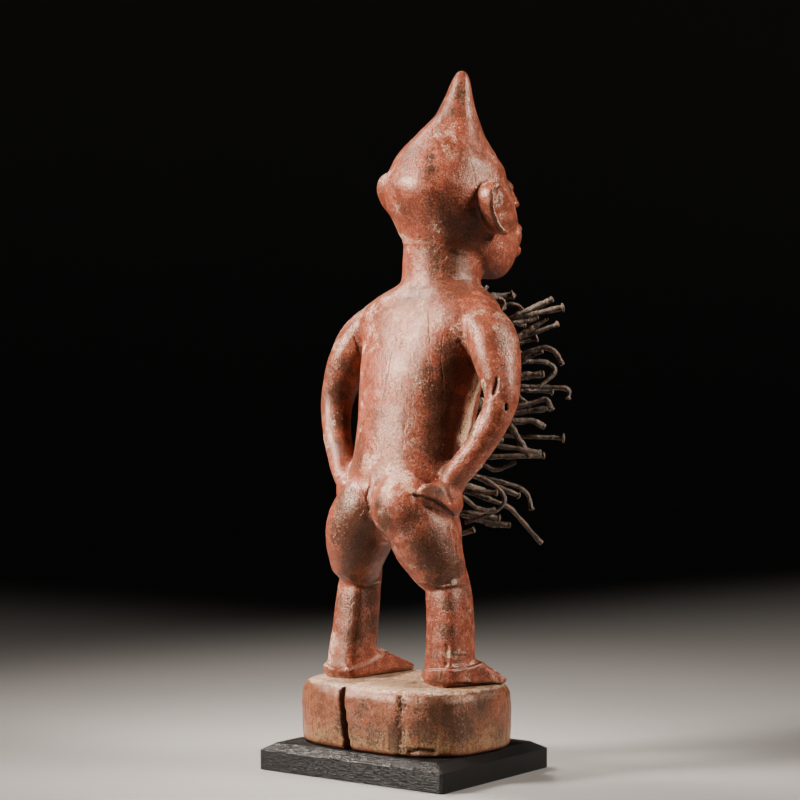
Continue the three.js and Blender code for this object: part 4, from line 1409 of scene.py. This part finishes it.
def drawn_nail(draw):
    """A row like those of SIDE_NAILS, drawn at random."""
    bearing = draw.uniform(*MORE_BEARINGS)
    reach, lift, bend = draw.uniform(*MORE_REACHES), draw.uniform(-0.3, 0.4), draw.uniform(-9, 9)
    bends = [[reach * 0.45, reach * lift * 0.45 + bend * 0.5], [reach, reach * lift - bend * 0.6]]
    if draw.random() < 0.35:
        bends.append([reach + draw.uniform(-6, 5), bends[-1][1] - draw.uniform(7, 15)])
    return [draw.uniform(*MORE_HEIGHTS), bearing, bearing * 0.95 + draw.uniform(-14, 14),
            draw.choice(MORE_HEAD_SIZES), *bends]


def more_nails(rows):
    """Rows of further nails, each clear of the others, the arms and the pack."""
    draw = random.Random(19)
    taken = np.concatenate([resampled(nail_path(row), SAMPLE_SPACING)[0] for row in rows])
    found = []
    while len(found) < MORE_NAILS:
        row = drawn_nail(draw)
        samples = resampled(nail_path(row), SAMPLE_SPACING)[0]
        outside = samples[SEATED_SAMPLES:]
        apart = np.linalg.norm(samples[:, None] - taken[None], axis=2).min() > NAIL_CLEARANCE
        placed = inside_box(outside) and outside[:, 2].max() < HIGHEST_TIP
        if placed and apart and clear_of_arms(outside) and clear_of_pack(samples):
            found.append(row)
            taken = np.concatenate([taken, samples])
    return found


def make_nails(material):
    packed = SIDE_NAILS + front_nails()
    for index, row in enumerate(packed + more_nails(packed)):
        made = mesh_object(f"forged_nail_{index + 1:02d}", forged_nail(row, index + 1))
        made.data.materials.append(material)
        if index < len(packed):
            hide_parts(f"nail_{index + 1:02d}")
        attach(made, "root")


# Medicine pack: a rough mass of clay and resin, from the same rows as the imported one

PACK = [
    [180, 0.6, 0.35, 2.4],
    [186, 0.88, 0.82, 2.8],
    [200, 1, 1, 3],
    [225, 1, 1, 3],
    [245, 0.97, 0.9, 3],
    [256, 0.85, 0.6, 2.6],
    [262, 0.6, 0.15, 2.4],
]
PACK_HALF_WIDTH = 47
PACK_PROUD = 24
PACK_CENTRE_SHARE = 0.6
PACK_BACK_REACH = 8


def make_pack(material):
    """The pack, dented and pitted all over."""
    depth = flank_point((PACK[0][0] + PACK[-1][0]) / 2, 0)[1]
    rows = [[height, 0, depth * PACK_CENTRE_SHARE, PACK_HALF_WIDTH * width,
             PACK_PROUD * proud - depth * (1 - PACK_CENTRE_SHARE), PACK_BACK_REACH, squareness]
            for height, width, proud, squareness in PACK]
    made = mesh_object("clay_pack", stack(rows, 64, 4))
    applied(made, "REMESH", mode="VOXEL", voxel_size=PACK_VOXEL * MM)
    pack = Carving(made)
    pack.relief(noises(pack.points, 41, (1.4, 14), (0.9, 6), (0.5, 2.6)) - 1.0)
    pack.finish()
    made.data.materials.append(material)
    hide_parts("medicine_pack")
    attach(made, "root")


# Display plinth: a bevelled block with rounded corners and slightly broken edges

PLINTH_WALL_HEIGHT = 17.6
PLINTH_BEVEL_RUN = 11
PLINTH_CORNER_RADIUS = 4
PLINTH_CORNER_STEPS = 6


def make_plinth(material):
    wall, top, run = PLINTH_WALL_HEIGHT, PLINTH_TOP[2], PLINTH_BEVEL_RUN
    profile = [(0, 0.6), (0.6, 0), (wall - 0.2, 0), (wall + 0.1, 0.4), (top - 0.15, run - 0.3),
               (top, run + 0.3)]
    turns = np.arange(PLINTH_CORNER_STEPS + 1) / PLINTH_CORNER_STEPS
    rings = []
    for height, inset in profile:
        corner = (PLINTH_TOP - PLINTH_LOW)[:2] / 2 - inset - PLINTH_CORNER_RADIUS
        points = []
        for quarter, signs in enumerate(((1, 1), (-1, 1), (-1, -1), (1, -1))):
            for a in (quarter + turns) * math.pi / 2:
                arc = np.array([math.cos(a), math.sin(a)]) * PLINTH_CORNER_RADIUS
                points.append([*(corner * signs + arc), height])
        rings.append(np.array(points))
    points, faces = skin(rings)
    made = mesh_object("display_plinth", (from_world(points), faces), smooth=False)
    made.data.materials.append(material)
    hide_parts("plinth")
    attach(made, "root")


def thinned(made, most):
    """The mesh with its flattest faces joined, down to a number of triangles."""
    count = sum(len(face.vertices) - 2 for face in made.data.polygons)
    if count > most:
        applied(made, "DECIMATE", ratio=most / count, use_collapse_triangulate=True)


def make_figure():
    body = carved_wood("carved_wood", red=(0.235, 0.058, 0.032), brown=(0.080, 0.025, 0.014),
                       pink=(0.345, 0.112, 0.070), bare=(0.84, 0.58, 0.38))
    drum = carved_wood("drum_wood", red=(0.195, 0.062, 0.032), brown=(0.080, 0.035, 0.018),
                       pink=(0.27, 0.105, 0.057), bare=(0.50, 0.29, 0.14))
    for carving, material in ((carve_body(), body), (carve_drum(), drum)):
        carving.finish()
        thinned(carving.made, MOST_TRIANGLES)
        carving.made.data.materials.append(material)
        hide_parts("figure")
        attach(carving.made, "root")


make_figure()
make_pack(resin_pack())
make_nails(forged_iron())
make_plinth(black_wood())


# Camera, light and floor

LAMP_COLOUR = (1, 0.89, 0.80)
SKY_COLOUR = (0.85, 0.87, 0.9, 1)
SKY_STRENGTH = 0.012
FLOOR_COLOURS = ((0.27, 0.267, 0.262), (0.29, 0.287, 0.282))

# The floor's profile in metres: how far out, and how high
FLOOR_PROFILE = [(0.001, 0), (0.5, 0), (1.5, 0), (2.6, 0), (3.2, 0.08), (3.8, 0.4), (4.2, 1.0), (4.4, 2.0),
                 (4.4, 4)]
FLOOR_SIDES = 96


def camera():
    data = bpy.data.cameras.new("camera")
    data.sensor_width = SENSOR_WIDTH
    data.lens = SENSOR_WIDTH * FOCAL_PIXELS / PHOTO_SIZE
    made = bpy.data.objects.new("camera", data)
    bpy.context.scene.collection.objects.link(made)
    made.matrix_world = Matrix((
        (RIGHT[0], 0, -VIEW[0], EYE[0] * MM),
        (RIGHT[1], 0, -VIEW[1], EYE[1] * MM),
        (0, 1, 0, EYE[2] * MM),
        (0, 0, 0, 1)))
    bpy.context.scene.camera = made


def softbox(name, right, back, up, size, power, aim=0.42, spread=60, tall=1.0):
    """Gridded rectangular light, placed in metres as the camera sees it and aimed at a height."""
    data = bpy.data.lights.new(name, "AREA")
    data.shape = "RECTANGLE"
    data.size, data.size_y = size, size * tall
    data.energy = power
    data.spread = math.radians(spread)
    data.color = LAMP_COLOUR
    made = bpy.data.objects.new(name, data)
    bpy.context.scene.collection.objects.link(made)
    spot = Vector(RIGHT * right - VIEW * back + UP * up)
    made.location = spot
    made.rotation_euler = (Vector((0, 0, aim)) - spot).to_track_quat("-Z", "Y").to_euler()


def studio():
    """Pale floor that curves up into a far wall on every side."""
    world = bpy.data.worlds.new("studio")
    world.use_nodes = True
    background = world.node_tree.nodes["Background"]
    background.inputs[0].default_value = SKY_COLOUR
    background.inputs[1].default_value = SKY_STRENGTH
    bpy.context.scene.world = world
    points, faces = skin([level_ring(radius, height, FLOOR_SIDES) for radius, height in FLOOR_PROFILE])
    mesh = bpy.data.meshes.new("studio_floor")
    mesh.from_pydata(points.tolist(), [], [face for face in faces if len(points) - 1 not in face])
    mesh.shade_smooth()
    floor = bpy.data.objects.new("studio_floor", mesh)
    bpy.context.scene.collection.objects.link(floor)
    s = Shader("studio_floor")
    colour, grit = s.mix(s.noise(6), *FLOOR_COLOURS), s.bump(s.noise(300), 0.0002, 0.2)
    floor.data.materials.append(s.surface(colour, 0.6, grit))


camera()
softbox("key_left", -1.5, 0.42, 1.2, 0.42, 18, tall=1.6)
softbox("key_right", 1.4, 0.3, 1.2, 0.45, 7, tall=1.4)
softbox("rim", -0.78, -0.73, 1.5, 0.4, 1.6, aim=0.02, spread=22)
studio()
